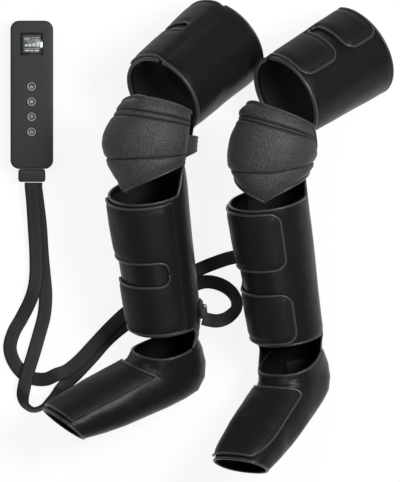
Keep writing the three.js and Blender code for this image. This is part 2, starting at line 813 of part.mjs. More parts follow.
// A block whose lower or upper edge is rounded in two steps, for the case halves.
function softBlock(width, length, height, radius, base, roundTop) {
  const steps = 3;
  const rings = [];
  for (let i = 0; i <= steps; i += 1) {
    const angle = (Math.PI / 2) * (i / steps);
    rings.push([caseEdgeRound * (1 - Math.cos(angle)), caseEdgeRound * (1 - Math.sin(angle))]);
  }
  const straight = [0, height];
  const profile = [straight, ...rings];
  const outline = (inset) => roundedOutline(width - 2 * inset, length - 2 * inset, radius - inset).getPoints(5);
  const layers = profile.map(([inset, level]) => ({ ring: outline(inset), level }));
  const places = [];
  const triangles = [];
  const count = layers[0].ring.length - 1;
  layers.forEach(({ ring, level }) => {
    const height0 = roundTop ? base + height - level : base + level;
    ring.slice(0, count).forEach((point) => places.push(point.x, point.y, height0));
  });
  const at = (i, k) => i * count + (k % count);
  const face = (a, b, c) => triangles.push(...(roundTop ? [a, b, c] : [a, c, b]));
  for (let i = 0; i < layers.length - 1; i += 1) {
    for (let k = 0; k < count; k += 1) {
      face(at(i, k), at(i, k + 1), at(i + 1, k + 1));
      face(at(i, k), at(i + 1, k + 1), at(i + 1, k));
    }
  }
  for (let k = 1; k < count - 1; k += 1) {
    face(at(0, 0), at(0, k + 1), at(0, k));
    face(at(layers.length - 1, 0), at(layers.length - 1, k), at(layers.length - 1, k + 1));
  }
  const geometry = new THREE.BufferGeometry();
  geometry.setAttribute("position", new THREE.Float32BufferAttribute(places, 3));
  geometry.setIndex(triangles);
  return geometry;
}

function standingCylinder(diameter, height, base, x, y, sides = 20) {
  const geometry = new THREE.CylinderGeometry(diameter / 2, diameter / 2, height, sides);
  return geometry.rotateX(Math.PI / 2).translate(x, y, base + height / 2);
}

function addController(group) {
  const middleX = pixelToX(caseMiddlePixelX);
  const middleY = pixelToY(caseTopPixelY) - caseLength / 2;
  const place = new THREE.Matrix4().makeTranslation(middleX, middleY, 0);
  const screenY = pixelToY(screenMiddlePixelY) - middleY;
  const buttonPlaces = Array.from(
    { length: buttonCount }, (unused, index) => pixelToY(firstButtonPixelY) - middleY - index * buttonPitch,
  );
  const posts = [];
  for (const x of [-1, 1]) {
    for (const y of [-1, 1]) {
      posts.push([x * (caseWidth / 2 - postInset), y * (caseLength / 2 - postInset)]);
    }
  }
  const over = caseWall;
  const innerWidth = caseWidth - 2 * caseWall;
  const innerLength = caseLength - 2 * caseWall;
  const innerRadius = caseCornerRadius - caseWall;
  const frontTop = caseThickness;
  const frontBottom = casePartingHeight + faceGap / 2;
  const rearTop = casePartingHeight - faceGap / 2;
  const innerTop = caseThickness - caseWall;

  const front = softBlock(caseWidth, caseLength, frontTop - frontBottom, caseCornerRadius, frontBottom, true);
  const hollow = roundedBlock(innerWidth, innerLength, innerTop - frontBottom + over, innerRadius, frontBottom - over);
  const seat = roundedBlock(
    screenSize + seatGap, screenSize + seatGap, caseWall * 2, screenThickness,
    frontTop - screenThickness + screenStandProud - faceGap,
  ).translate(0, screenY, 0);
  const windowSide = screenSize - 2 * screenWindowBorder;
  const window = roundedBlock(windowSide, windowSide, caseThickness, screenThickness, casePartingHeight)
    .translate(0, screenY, 0);
  const holes = buttonPlaces.map((y) => (
    standingCylinder(buttonDiameter + 2 * buttonClearance, caseWall * 4, innerTop - caseWall, 0, y, 20)
  ));
  const postBase = frontBottom;
  const frontPosts = posts.map(([x, y]) => standingCylinder(postDiameter, innerTop - postBase + over / 2, postBase, x, y, 10));
  const pilots = posts.map(([x, y]) => (
    standingCylinder(screwShankDiameter + screwClearance, screwLength, postBase - over, x, y, 10)
  ));
  const shell = fromManifold(toManifold(front).subtract(toManifold(hollow)));
  const cover = formed([shell, ...frontPosts], [seat, window, ...holes, ...pilots]);
  addPiece(group, "handset_front_cover", cover, casePlastic, place);

  const rear = softBlock(caseWidth, caseLength, rearTop, caseCornerRadius, 0, false);
  const rearHollow = roundedBlock(innerWidth, innerLength, caseThickness, innerRadius, caseWall);
  const rearShell = fromManifold(toManifold(rear).subtract(toManifold(rearHollow)));
  const rearPosts = posts.map(([x, y]) => standingCylinder(postDiameter, rearTop - caseWall / 2, caseWall / 2, x, y, 10));
  const headSeat = caseWall + screwHeadHeight;
  const counterbores = posts.map(([x, y]) => (
    standingCylinder(screwHeadDiameter + 2 * screwClearance, headSeat + over, -over, x, y, 12)
  ));
  const shanks = posts.map(([x, y]) => (
    standingCylinder(screwShankDiameter + 2 * screwClearance, caseThickness, 0, x, y, 10)
  ));
  addPiece(group, "handset_rear_cover", formed([rearShell, ...rearPosts], [...counterbores, ...shanks]), casePlastic, place);

  posts.forEach(([x, y], index) => {
    const headBase = headSeat - faceGap - screwHeadHeight;
    const head = standingCylinder(screwHeadDiameter, screwHeadHeight, headBase, x, y, 12);
    const shankLength = screwLength - screwHeadHeight;
    const shank = standingCylinder(screwShankDiameter, shankLength, headSeat - faceGap - screwHeadHeight / 2, x, y, 10);
    addPiece(group, `handset_screw_${index + 1}`, formed([head, shank]), finish("#9a9da0", 0.35, 0.9), place);
  });

  const lensBase = frontTop - screenThickness + screenStandProud;
  const lens = roundedBlock(screenSize, screenSize, screenThickness, screenThickness, lensBase).translate(0, screenY, 0);
  addPiece(group, "handset_screen_lens", lens, finish("#0b0d10", 0.12), place);

  const displaySide = windowSide - 2 * faceGap;
  const displayTop = lensBase - faceGap;
  const display = roundedBlock(displaySide, displaySide, displayThickness, screenThickness, displayTop - displayThickness)
    .translate(0, screenY, 0);
  addPiece(group, "handset_display_module", display, finish("#20242a", 0.4), place);

  const boardTop = displayTop - displayThickness - faceGap;
  const boardY = caseLength / 2 - caseWall - postInset * 2 - boardLength / 2;
  const board = new THREE.BoxGeometry(boardWidth, boardLength, boardThickness)
    .translate(0, boardY, boardTop - boardThickness / 2);
  const switches = buttonPlaces.map((y) => (
    new THREE.BoxGeometry(switchSide, switchSide, switchHeight + boardThickness / 2)
      .translate(0, y, boardTop + (switchHeight - boardThickness / 2) / 2)
  ));
  addPiece(group, "handset_circuit_board", formed([board, ...switches]), finish("#1f5a34", 0.6), place);

  buttonPlaces.forEach((y, index) => {
    const capTop = frontTop + buttonStandProud;
    const cap = standingCylinder(buttonDiameter, buttonHeight, capTop - buttonHeight, 0, y, 20);
    const flangeTop = innerTop - faceGap;
    const flange = standingCylinder(
      buttonDiameter + 2 * (buttonClearance + buttonFlange), buttonFlangeThickness,
      flangeTop - buttonFlangeThickness, 0, y, 20,
    );
    const stemBase = boardTop + switchHeight + buttonTravel + faceGap;
    const stem = standingCylinder(switchSide, capTop - buttonHeight - stemBase + over / 2, stemBase, 0, y, 10);
    addPiece(group, `handset_button_${index + 1}`, formed([cap, flange, stem]), finish("#3a3b3e", 0.5), place);
  });

  const insideTop = boardTop - boardThickness;
  const innerEnd = caseLength / 2 - caseWall;
  const battery = roundedBlock(batteryWidth, batteryLength, batteryHeight, 2 * caseWall, caseWall + faceGap)
    .translate(0, innerEnd - postInset * 2 - batteryLength / 2, 0);
  addPiece(group, "handset_battery", battery, finish("#3b4656", 0.5), place);

  const pumpY = innerEnd - postInset * 2 - batteryLength - caseWall - pumpLength / 2;
  const pumpRadius = Math.min(pumpDiameter, insideTop - caseWall) / 2 - faceGap;
  const pump = new THREE.CylinderGeometry(pumpRadius, pumpRadius, pumpLength, 24)
    .translate(0, pumpY, caseWall + faceGap + pumpRadius);
  addPiece(group, "handset_air_pump", pump, finish("#8d9092", 0.4, 0.6), place);

  const valveY = -innerEnd + postInset * 2 + valveLength / 2;
  const valve = roundedBlock(valveWidth, valveLength, valveHeight, 2 * caseWall, caseWall + faceGap).translate(0, valveY, 0);
  addPiece(group, "handset_valve_block", valve, finish("#c9ccd0", 0.6), place);

  const tubeStart = pumpY - pumpLength / 2 - faceGap;
  const tubeEnd = valveY + valveLength / 2 + faceGap;
  const tube = new THREE.CylinderGeometry(manifoldDiameter / 2, manifoldDiameter / 2, tubeStart - tubeEnd, 14)
    .translate(0, (tubeStart + tubeEnd) / 2, caseWall + faceGap + valveHeight / 2);
  addPiece(group, "handset_manifold_tube", tube, finish("#d8dadc", 0.5), place);

  const plug = roundedBlock(plugWidth, plugHeight, plugLength, plugCornerRadius, 0)
    .rotateX(Math.PI / 2)
    .translate(0, -caseLength / 2 - faceGap, plugStandOff + plugHeight / 2);
  addPiece(group, "hose_plug", plug, rubber, place);
}

// The frame of one leg: its bottom edge's middle, +Z up the calf and +X to the toe.
function legFrames(lay) {
  const [cosLean, sinLean] = [cosine(lay.lean), sine(lay.lean)];
  const [cosTilt, sinTilt] = [cosine(lay.tilt), sine(lay.tilt)];
  const upward = new THREE.Vector3(-sinLean * cosTilt, cosLean * cosTilt, sinTilt);
  const level = new THREE.Vector3(cosLean, sinLean, 0);
  const facing = new THREE.Vector3(sinLean * sinTilt, -cosLean * sinTilt, cosTilt);
  const ankle = new THREE.Vector3(pixelToX(lay.ankleX), pixelToY(lay.ankleY), lay.ankleHeight);
  const frame = (azimuth, origin) => {
    const forward = level.clone().multiplyScalar(-sine(azimuth)).addScaledVector(facing, cosine(azimuth));
    const matrix = new THREE.Matrix4().makeBasis(forward, upward.clone().cross(forward), upward);
    return matrix.setPosition(origin);
  };
  const calf = frame(lay.azimuth, ankle);
  const knee = new THREE.Vector3(-kneeSetBack, 0, kneeHeight).applyMatrix4(frame(lay.kneeAzimuth, ankle));
  return { calf, knee: frame(lay.kneeAzimuth, knee) };
}

function buildSet() {
  const group = new THREE.Group();
  group.name = "compression_leg_massager";
  const hoses = { left: [rightHoseRoute, rightHoseSteps, "hose_to_left_leg"], right: [leftHoseRoute, leftHoseSteps, "hose_to_right_leg"] };
  for (const lay of [layLeft, layRight]) {
    const { calf, knee } = legFrames(lay);
    addCalf(group, lay, calf);
    addFoot(group, lay, calf);
    addKnee(group, lay, knee);
    addThigh(group, lay, knee);
    addInlet(group, lay, calf);
    const [route, steps, name] = hoses[lay.name];
    addPiece(group, name, flatHose(route, hosePort(lay, calf), steps), hoseRubber);
  }
  addController(group);
  return group;
}

const group = buildSet();

export default group;
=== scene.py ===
import math

import bmesh
import bpy
import numpy as np
from mathutils import Matrix, Vector, noise


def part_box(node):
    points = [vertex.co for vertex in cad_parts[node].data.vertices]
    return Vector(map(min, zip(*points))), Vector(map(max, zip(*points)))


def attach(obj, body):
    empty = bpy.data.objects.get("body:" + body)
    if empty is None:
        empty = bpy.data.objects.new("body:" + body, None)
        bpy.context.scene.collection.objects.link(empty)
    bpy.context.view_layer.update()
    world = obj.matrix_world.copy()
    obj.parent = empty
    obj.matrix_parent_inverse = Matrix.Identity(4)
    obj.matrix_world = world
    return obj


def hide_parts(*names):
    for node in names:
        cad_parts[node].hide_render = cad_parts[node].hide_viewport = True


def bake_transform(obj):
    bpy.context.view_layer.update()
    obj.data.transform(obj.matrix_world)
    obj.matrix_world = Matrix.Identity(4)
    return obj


# The whole set is in metres, +Z up. It lies on a flat surface at z = 0, and the picture is taken
# from straight above with a long lens.
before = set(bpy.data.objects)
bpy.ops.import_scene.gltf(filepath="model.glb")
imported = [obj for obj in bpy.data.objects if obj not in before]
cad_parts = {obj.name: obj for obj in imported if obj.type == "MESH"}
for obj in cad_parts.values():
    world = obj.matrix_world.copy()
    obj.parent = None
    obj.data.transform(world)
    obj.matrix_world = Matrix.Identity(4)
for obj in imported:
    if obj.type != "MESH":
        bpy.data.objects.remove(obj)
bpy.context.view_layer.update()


# Camera: straight above the middle of the picture, with a long lens so that next to nothing leans.
# The picture's top points towards +Y.
def linked(name, data):
    """A new object in the scene."""
    obj = bpy.data.objects.new(name, data)
    bpy.context.scene.collection.objects.link(obj)
    return obj


camera_data = bpy.data.cameras.new("camera")
camera_data.sensor_fit = "HORIZONTAL"
camera_data.sensor_width = 36
camera_data.lens = 839
camera_data.clip_end = 40
camera = linked("camera", camera_data)
camera.location = (-0.0041, -0.0062, 16.0)
bpy.context.scene.camera = camera


# Floor and light: a white floor that keeps a soft shadow, an even white sky, and three large
# soft lamps, the brightest at the right as in the picture.
def nodes_of(material):
    material.use_nodes = True
    return material.node_tree.nodes, material.node_tree.links


def plain_material(name, colour, roughness, metallic=0.0, coat=0.0):
    material = bpy.data.materials.new(name)
    nodes, _ = nodes_of(material)
    shader = nodes["Principled BSDF"]
    shader.inputs["Base Color"].default_value = (*colour, 1)
    shader.inputs["Roughness"].default_value = roughness
    shader.inputs["Metallic"].default_value = metallic
    shader.inputs["Coat Weight"].default_value = coat
    return material


def seen_share(nodes, links, path, share):
    """A share for the rays that see the background: from the camera, or off gloss or through glass."""
    total = path.outputs["Is Camera Ray"]
    for ray in ("Is Glossy Ray", "Is Transmission Ray"):
        either = nodes.new("ShaderNodeMath")
        either.operation = "MAXIMUM"
        links.new(total, either.inputs[0])
        links.new(path.outputs[ray], either.inputs[1])
        total = either.outputs[0]
    part = nodes.new("ShaderNodeMath")
    part.operation = "MULTIPLY"
    part.inputs[1].default_value = share
    links.new(total, part.inputs[0])
    return part.outputs[0]


floor_half, floor_level = 9, -0.0004
floor_mesh = bpy.data.meshes.new("floor")
floor_corners = [
    (x * floor_half, y * floor_half, floor_level) for x, y in ((-1, -1), (1, -1), (1, 1), (-1, 1))
]
floor_mesh.from_pydata(floor_corners, [], [(0, 1, 2, 3)])
floor = linked("floor", floor_mesh)
floor_material = plain_material("floor_white", (0.9, 0.9, 0.9), 0.9)
floor_nodes, floor_links = nodes_of(floor_material)
floor_nodes["Principled BSDF"].inputs["Specular IOR Level"].default_value = 0.1
floor_glow = floor_nodes.new("ShaderNodeEmission")
floor_glow.inputs["Color"].default_value = (1, 1, 1, 1)
floor_glow.inputs["Strength"].default_value = 1.0
floor_path = floor_nodes.new("ShaderNodeLightPath")
floor_mix = floor_nodes.new("ShaderNodeMixShader")
floor_links.new(seen_share(floor_nodes, floor_links, floor_path, 0.88), floor_mix.inputs["Fac"])
floor_links.new(floor_nodes["Principled BSDF"].outputs[0], floor_mix.inputs[1])
floor_links.new(floor_glow.outputs[0], floor_mix.inputs[2])
floor_links.new(floor_mix.outputs[0], floor_nodes["Material Output"].inputs["Surface"])
floor_mesh.materials.append(floor_material)

world = bpy.data.worlds.new("sky")
bpy.context.scene.world = world
world.use_nodes = True
sky = world.node_tree.nodes["Background"]
sky.inputs["Color"].default_value = (1, 1, 1, 1)
sky.inputs["Strength"].default_value = 0.2

lamp_aim = Vector((0.0, 0.0, 0.1))
for name, place, size, energy in [
    ("lamp_key", (1.3, 0.5, 2.6), 0.9, 80),
    ("lamp_top", (-0.9, 1.2, 3.0), 1.2, 26),
    ("lamp_below", (0.3, -2.2, 2.6), 1.4, 14),
]:
    lamp_data = bpy.data.lights.new(name, "AREA")
    lamp_data.shape = "SQUARE"
    lamp_data.size = size
    lamp_data.energy = energy
    lamp = linked(name, lamp_data)
    lamp.location = place
    lamp.rotation_euler = (lamp_aim - Vector(place)).to_track_quat("-Z", "Y").to_euler()
bpy.context.scene.view_settings.view_transform = "Standard"


# Hoses: one flat twin-lumen rubber ribbon to each leg, 24 x 6 mm, moulded as two uneven lobes
# with a groove between. Both leave the controller's plug and go back into the object at the calf.
def add_mesh(name, points, faces, material):
    mesh = bpy.data.meshes.new(name)
    mesh.from_pydata([tuple(p) for p in points], [], [tuple(int(i) for i in f) for f in faces])
    mesh.polygons.foreach_set("use_smooth", [True] * len(mesh.polygons))
    work = bmesh.new()
    work.from_mesh(mesh)
    bmesh.ops.recalc_face_normals(work, faces=work.faces)
    work.to_mesh(mesh)
    work.free()
    mesh.materials.append(material)
    return linked(name, mesh)


def smooth_line(points, count):
    """Even steps along a centripetal curve through the points, with its directions."""
    points = np.asarray(points, float)
    whole = np.vstack([2 * points[0] - points[1], points, 2 * points[-1] - points[-2]])
    places = []
    spans = len(points) - 1
    for share in np.linspace(0, 1, count):
        span = min(spans - 1, int(share * spans))
        t = share * spans - span
        a, b, c, d = whole[span : span + 4]
        gaps = [max(1e-4, np.linalg.norm(q - p) ** 0.5) for p, q in ((a, b), (b, c), (c, d))]
        into = (b - a) / gaps[0] - (c - a) / (gaps[0] + gaps[1]) + (c - b) / gaps[1]
        away = (c - b) / gaps[1] - (d - b) / (gaps[1] + gaps[2]) + (d - c) / gaps[2]
        into, away = into * gaps[1], away * gaps[1]
        places.append(
            b + into * t + (-3 * b + 3 * c - 2 * into - away) * t**2 + (2 * b - 2 * c + into + away) * t**3
        )
    places = np.array(places)
    ahead = np.gradient(places, axis=0)
    return places, ahead / np.linalg.norm(ahead, axis=1)[:, None]


def swept(rings, closed=False):
    """Points and faces of a tube from rings of points."""
    count, sides = rings.shape[0], rings.shape[1]
    faces = []
    for i in range(count if closed else count - 1):
        for k in range(sides):
            a, b = i * sides + k, i * sides + (k + 1) % sides
            c, d = ((i + 1) % count) * sides + (k + 1) % sides, ((i + 1) % count) * sides + k
            faces.append((a, b, c, d))
    if not closed:
        faces.append(tuple(range(sides)))
        faces.append(tuple((count - 1) * sides + k for k in reversed(range(sides))))
    return rings.reshape(-1, 3), faces


def rubber_material(name, colour, roughness, grain):
    material = plain_material(name, colour, roughness)
    nodes, links = nodes_of(material)
    nodes["Principled BSDF"].inputs["Specular IOR Level"].default_value = 0.3
    coordinates = nodes.new("ShaderNodeTexCoord")
    speckle = nodes.new("ShaderNodeTexNoise")
    speckle.inputs["Scale"].default_value = 900
    bump = nodes.new("ShaderNodeBump")
    bump.inputs["Strength"].default_value = grain
    bump.inputs["Distance"].default_value = 0.0004
    links.new(coordinates.outputs["Object"], speckle.inputs["Vector"])
    links.new(speckle.outputs["Fac"], bump.inputs["Height"])
    links.new(bump.outputs["Normal"], nodes["Principled BSDF"].inputs["Normal"])
    return material


hose_material = rubber_material("hose_rubber", (0.008, 0.0083, 0.009), 0.6, 0.15)
# Hose path points: x, y, z and turn about the run in degrees. The last two lead into the connector.
hose_routes = {
    "hose_to_right_leg": [
        (-0.2931, 0.0941, 0.0180, 0), (-0.2931, 0.0867, 0.0180, 0), (-0.2910, 0.0643, 0.0150, 0),
        (-0.2883, 0.0213, 0.0100, 0), (-0.2853, -0.0303, 0.0098, 0), (-0.2855, -0.0664, 0.0098, 0),
        (-0.2896, -0.0922, 0.0098, 0), (-0.2972, -0.1128, 0.0070, 0), (-0.3103, -0.1386, 0.0037, 0),
        (-0.3237, -0.1627, 0.0037, 0), (-0.3302, -0.1868, 0.0037, 0), (-0.3268, -0.2057, 0.0037, 0),
        (-0.3172, -0.2229, 0.0037, 0), (-0.3034, -0.2367, 0.0037, 0), (-0.2862, -0.2429, 0.0037, 0),
        (-0.2673, -0.2429, 0.0080, 0), (-0.2509, -0.2356, 0.0112, 0), (-0.2329, -0.2289, 0.0102, 0),
        (-0.2122, -0.2126, 0.0102, 0), (-0.1847, -0.1834, 0.0102, 0), (-0.1589, -0.1558, 0.0102, 0),
        (-0.1314, -0.1300, 0.0102, 0), (-0.0987, -0.1077, 0.0102, 0), (-0.0557, -0.0810, 0.0102, 0),
        (-0.0024, -0.0535, 0.0102, 0), (0.0234, -0.0432, 0.0060, 0), (0.0509, -0.0346, 0.0037, 0),
        (0.0819, -0.0320, 0.0037, 0), (0.1094, -0.0423, 0.0044, 0), (0.1266, -0.0630, 0.0070, 0),
        (0.14463, -0.10392, 0.03320, 0), (0.14635, -0.11528, 0.02973, 0),
    ],
    "hose_to_left_leg": [
        (-0.2862, 0.0941, 0.0105, 0), (-0.2862, 0.0867, 0.0105, 0), (-0.2835, 0.0643, 0.0080, 0),
        (-0.2785, 0.0213, 0.0037, 0), (-0.2750, -0.0303, 0.0037, 0), (-0.2716, -0.0664, 0.0037, 0),
        (-0.2690, -0.0991, 0.0037, 0), (-0.2716, -0.1335, 0.0037, 0), (-0.2805, -0.1679, 0.0045, 0),
        (-0.2914, -0.2057, 0.0088, 0), (-0.3000, -0.2332, 0.0102, 0), (-0.3058, -0.2573, 0.0106, 0),
        (-0.3075, -0.2745, 0.0110, 30), (-0.3017, -0.2891, 0.0126, 62), (-0.2896, -0.2958, 0.0130, 72),
        (-0.2742, -0.2910, 0.0130, 72), (-0.2604, -0.2771, 0.0128, 66), (-0.2466, -0.2649, 0.0070, 26),
        (-0.2337, -0.2508, 0.0037, 0), (-0.2174, -0.2350, 0.0037, 0), (-0.1899, -0.2057, 0.0037, 0),
        (-0.1624, -0.1748, 0.0037, 0), (-0.1280, -0.1464, 0.0037, 0), (-0.0901, -0.1232, 0.0037, 0),
        (-0.0454, -0.0974, 0.0037, 0), (0.0010, -0.0767, 0.0050, 0), (0.0268, -0.0793, 0.0090, 12),
        (0.0458, -0.0896, 0.0160, 25), (0.0569, -0.1042, 0.0280, 35), (0.0578, -0.1206, 0.0440, 35),
        (0.0440, -0.1363, 0.0620, 22), (0.0262, -0.1425, 0.0790, 8),
        (0.0098, -0.1405, 0.0915, 0), (0.0015, -0.1380, 0.0945, 0),
    ],
}
hose_steps, hose_half_width, hose_half_height = 260, 0.0117, 0.0028
for name, route in hose_routes.items():
    line, ahead = smooth_line([row[:3] for row in route], hose_steps)
    steps = np.linspace(0, len(route) - 1, hose_steps)
    turns = np.interp(steps, range(len(route)), [row[3] for row in route])
    level = np.stack([ahead[:, 1], -ahead[:, 0], np.zeros(len(ahead))], axis=1)
    level /= np.linalg.norm(level, axis=1)[:, None]
    raised = np.cross(level, ahead)
    turn = np.radians(turns)[:, None]
    across = level * np.cos(turn) - raised * np.sin(turn)
    upright = np.cross(across, ahead)
    angles = np.linspace(0, 2 * math.pi, 28, endpoint=False)
    side = np.sign(np.cos(angles)) * np.abs(np.cos(angles)) ** 0.6
    lift = np.sign(np.sin(angles)) * np.abs(np.sin(angles)) ** 0.55
    waist = 1 - 0.34 * np.exp(-((side * 12 - 3.2) / 1.6) ** 2)
    rings = (
        line[:, None, :]
        + across[:, None, :] * (hose_half_width * side)[None, :, None]
        + upright[:, None, :] * (hose_half_height * lift * waist)[None, :, None]
    )
    hose = add_mesh(name + "_ribbon", *swept(rings), hose_material)
    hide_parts(name)
    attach(hose, "set")


# Hose plug: the moulded rubber block in the controller's lower end, with three grip ribs round it.
# It is pushed into the case, and both hoses come out of it.
def boxed(name, low, high, edge, material, segments=3, matrix=None):
    """A block between two corners with rounded edges."""
    work = bmesh.new()
    bmesh.ops.create_cube(work, size=1)
    low, high = Vector(low), Vector(high)
    for vertex in work.verts:
        vertex.co = Vector(
            (low[i] + (vertex.co[i] + 0.5) * (high[i] - low[i])) for i in range(3)
        )
    bmesh.ops.bevel(work, geom=list(work.edges), offset=edge, segments=segments, profile=0.5, affect="EDGES")
    if matrix is not None:
        bmesh.ops.transform(work, matrix=Matrix(matrix), verts=work.verts)
    mesh = bpy.data.meshes.new(name)
    work.to_mesh(mesh)
    work.free()
    mesh.polygons.foreach_set("use_smooth", [True] * len(mesh.polygons))
    mesh.materials.append(material)
    return linked(name, mesh)


def joined(name, *objects):
    """One object from several, keeping their materials."""
    work = bmesh.new()
    materials = []
    for obj in objects:
        slot_of = []
        for material in obj.data.materials:
            if material not in materials:
                materials.append(material)
            slot_of.append(materials.index(material))
        before = len(work.faces)
        work.from_mesh(obj.data)
        work.faces.ensure_lookup_table()
        for face in work.faces[before:]:
            face.material_index = slot_of[min(face.material_index, len(slot_of) - 1)]
        bpy.data.objects.remove(obj)
    mesh = bpy.data.meshes.new(name)
    work.to_mesh(mesh)
    work.free()
    for material in materials:
        mesh.materials.append(material)
    return linked(name, mesh)


plug_material = rubber_material("plug_rubber", (0.02, 0.021, 0.022), 0.5, 0.2)
plug_low, plug_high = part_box("hose_plug")
plug_parts = [boxed("plug_body", plug_low, plug_high, 0.004, plug_material, 4)]
first_rib, rib_spacing, rib_width = 0.0045, 0.0042, 0.002
for step in range(3):
    y = plug_low.y + first_rib + step * rib_spacing
    rib_low = (plug_low.x - 0.0006, y, plug_low.z - 0.0004)
    rib_high = (plug_high.x + 0.0006, y + rib_width, plug_high.z + 0.0006)
    plug_parts.append(boxed("plug_rib", rib_low, rib_high, 0.0009, plug_material))
plug = joined("hose_plug_block", *plug_parts)
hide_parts("hose_plug")
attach(plug, "set")


# Controller case: two halves of matte black plastic with rounded corners, the front half with
# seats for the screen and the four keys.
def outline_points(width, length, radius, count=10):
    """The outline of a block with rounded corners."""
    points = []
    for corner, (sx, sy) in enumerate([(1, 1), (-1, 1), (-1, -1), (1, -1)]):
        for k in range(count + 1):
            angle = math.pi / 2 * (corner + k / count)
            x = sx * (width / 2 - radius) + radius * math.cos(angle)
            points.append((x, sy * (length / 2 - radius) + radius * math.sin(angle)))
    return np.array(points)


def stacked(name, layers, material, middle):
    """A solid from rounded outlines (width, length, radius, height), the first and last closed."""
    rings = []
    for width, length, radius, height in layers:
        ring = outline_points(width, length, radius)
        rings.append(np.column_stack([ring + np.array(middle), np.full(len(ring), height)]))
    return add_mesh(name, *swept(np.array(rings)), material)


def round_layer(width, height, short=0.00001):
    """A round outline for a stack, its corner radius just short of half its width."""
    return width, width, width / 2 - short, height


def middle_of(node):
    """The x and y of the middle of a node's box."""
    low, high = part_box(node)
    return (low.x + high.x) / 2, (low.y + high.y) / 2


def shaded(piece, degrees):
    """Smooth shading that breaks at edges sharper than an angle."""
    for polygon in piece.data.polygons:
        polygon.use_smooth = True
    piece.data.set_sharp_from_angle(angle=math.radians(degrees))


case_material = rubber_material("case_plastic", (0.015, 0.015, 0.016), 0.5, 0.35)
case_low, case_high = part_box("handset_front_cover")
case_middle = middle_of("handset_front_cover")
case_width, case_length = case_high.x - case_low.x, case_high.y - case_low.y
# the case's corner radius, its rounded edge, and the fine groove where the halves meet
case_corner, case_edge, groove_depth, groove_height = 0.015, 0.0034, 0.0004, 0.0005


def case_layer(inset, height):
    """The case's outline, drawn in all round, at a height."""
    return case_width - 2 * inset, case_length - 2 * inset, case_corner - inset, height


rounding = [math.pi / 2 * step / 6 for step in range(7)]
front_layers = [case_layer(groove_depth, case_low.z), case_layer(0, case_low.z + groove_height)]
front_layers += [
    case_layer(case_edge * (1 - math.cos(turn)), case_high.z - case_edge * (1 - math.sin(turn)))
    for turn in rounding
]
front = stacked("handset_front_shell", front_layers, case_material, case_middle)
# wells are cut into the front for the screen and the keys
well_gap, lens_well, key_well, key_well_width, well_top = 0.0004, 0.0018, 0.0034, 0.0166, 0.004
lens_low, lens_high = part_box("handset_screen_lens")
low = (lens_low.x - well_gap, lens_low.y - well_gap, case_high.z - lens_well)
high = (lens_high.x + well_gap, lens_high.y + well_gap, case_high.z + well_top)
wells = [boxed("well", low, high, 0.0008, case_material)]
button_places = [middle_of(f"handset_button_{index}") for index in range(1, 5)]
for place in button_places:
    hole = [round_layer(key_well_width, case_high.z + height) for height in (-key_well, well_top)]
    wells.append(stacked("well", hole, case_material, place))
well = joined("wells", *wells)
cut = front.modifiers.new("wells", "BOOLEAN")
cut.operation = "DIFFERENCE"
cut.solver = "EXACT"
cut.object = well
depsgraph = bpy.context.evaluated_depsgraph_get()
front_mesh = bpy.data.meshes.new_from_object(front.evaluated_get(depsgraph))
front.modifiers.clear()
front.data = front_mesh
bpy.data.objects.remove(well)
shaded(front, 35)
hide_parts("handset_front_cover")
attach(front, "set")

rear_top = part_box("handset_rear_cover")[1].z
rear_layers = [
    case_layer(case_edge * (1 - math.sin(turn)), case_edge * (1 - math.cos(turn))) for turn in rounding
]
rear_layers += [case_layer(0, rear_top - groove_height), case_layer(groove_depth, rear_top)]
rear = stacked("handset_rear_shell", rear_layers, case_material, case_middle)
shaded(rear, 35)
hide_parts("handset_rear_cover", "handset_circuit_board", "handset_battery", "handset_air_pump",
            "handset_valve_block", "handset_manifold_tube", "handset_display_module")
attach(rear, "set")


# Case screws: four plain steel pan heads, sunk in the back of the case but for a tenth of a
# millimetre. They hold its two halves together.
screw_material = plain_material("screw_steel", (0.35, 0.36, 0.37), 0.35, 1.0)
screw_head = [(0.0044, -0.0001), (0.005, 0.0003), (0.005, 0.0016)]
for index in range(1, 5):
    head = [round_layer(width, height, 0.00005) for width, height in screw_head]
    screw = stacked(f"handset_screw_head_{index}", head, screw_material, middle_of(f"handset_screw_{index}"))
    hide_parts(f"handset_screw_{index}")
    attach(screw, "set")


# Screen: a gloss black lens in its well, with a dark display under it. What it shows is generic:
# plain bars and lines, four of them rising like a scale of strength.
lens_material = plain_material("screen_gloss", (0.006, 0.007, 0.008), 0.08, 0.0, 0.6)
shown_material = plain_material("display_marks", (0.42, 0.45, 0.47), 0.5)
dim_material = plain_material("display_dim", (0.05, 0.055, 0.06), 0.3)
lens_middle = middle_of("handset_screen_lens")
lens_side, lens_corner, lens_top = lens_high.x - lens_low.x, 0.0016, lens_high.z
lens_layers = [
    (lens_side, lens_side, lens_corner, lens_low.z + 0.0002),
    (lens_side, lens_side, lens_corner, lens_top - 0.0004),
    (lens_side - 0.0006, lens_side - 0.0006, lens_corner - 0.0002, lens_top - 0.00005),
]
lens_parts = [stacked("lens", lens_layers, lens_material, lens_middle)]


def mark(x0, y0, x1, y1, material, lift=0.0):
    """A thin bar on the display, placed from the lens's middle in millimetres."""
    low = (lens_middle[0] + x0 / 1000, lens_middle[1] + y0 / 1000, lens_top - 0.0003 + lift)
    high = (lens_middle[0] + x1 / 1000, lens_middle[1] + y1 / 1000, lens_top + 0.00005 + lift)
    return boxed("mark", low, high, 0.00005, material, 1)


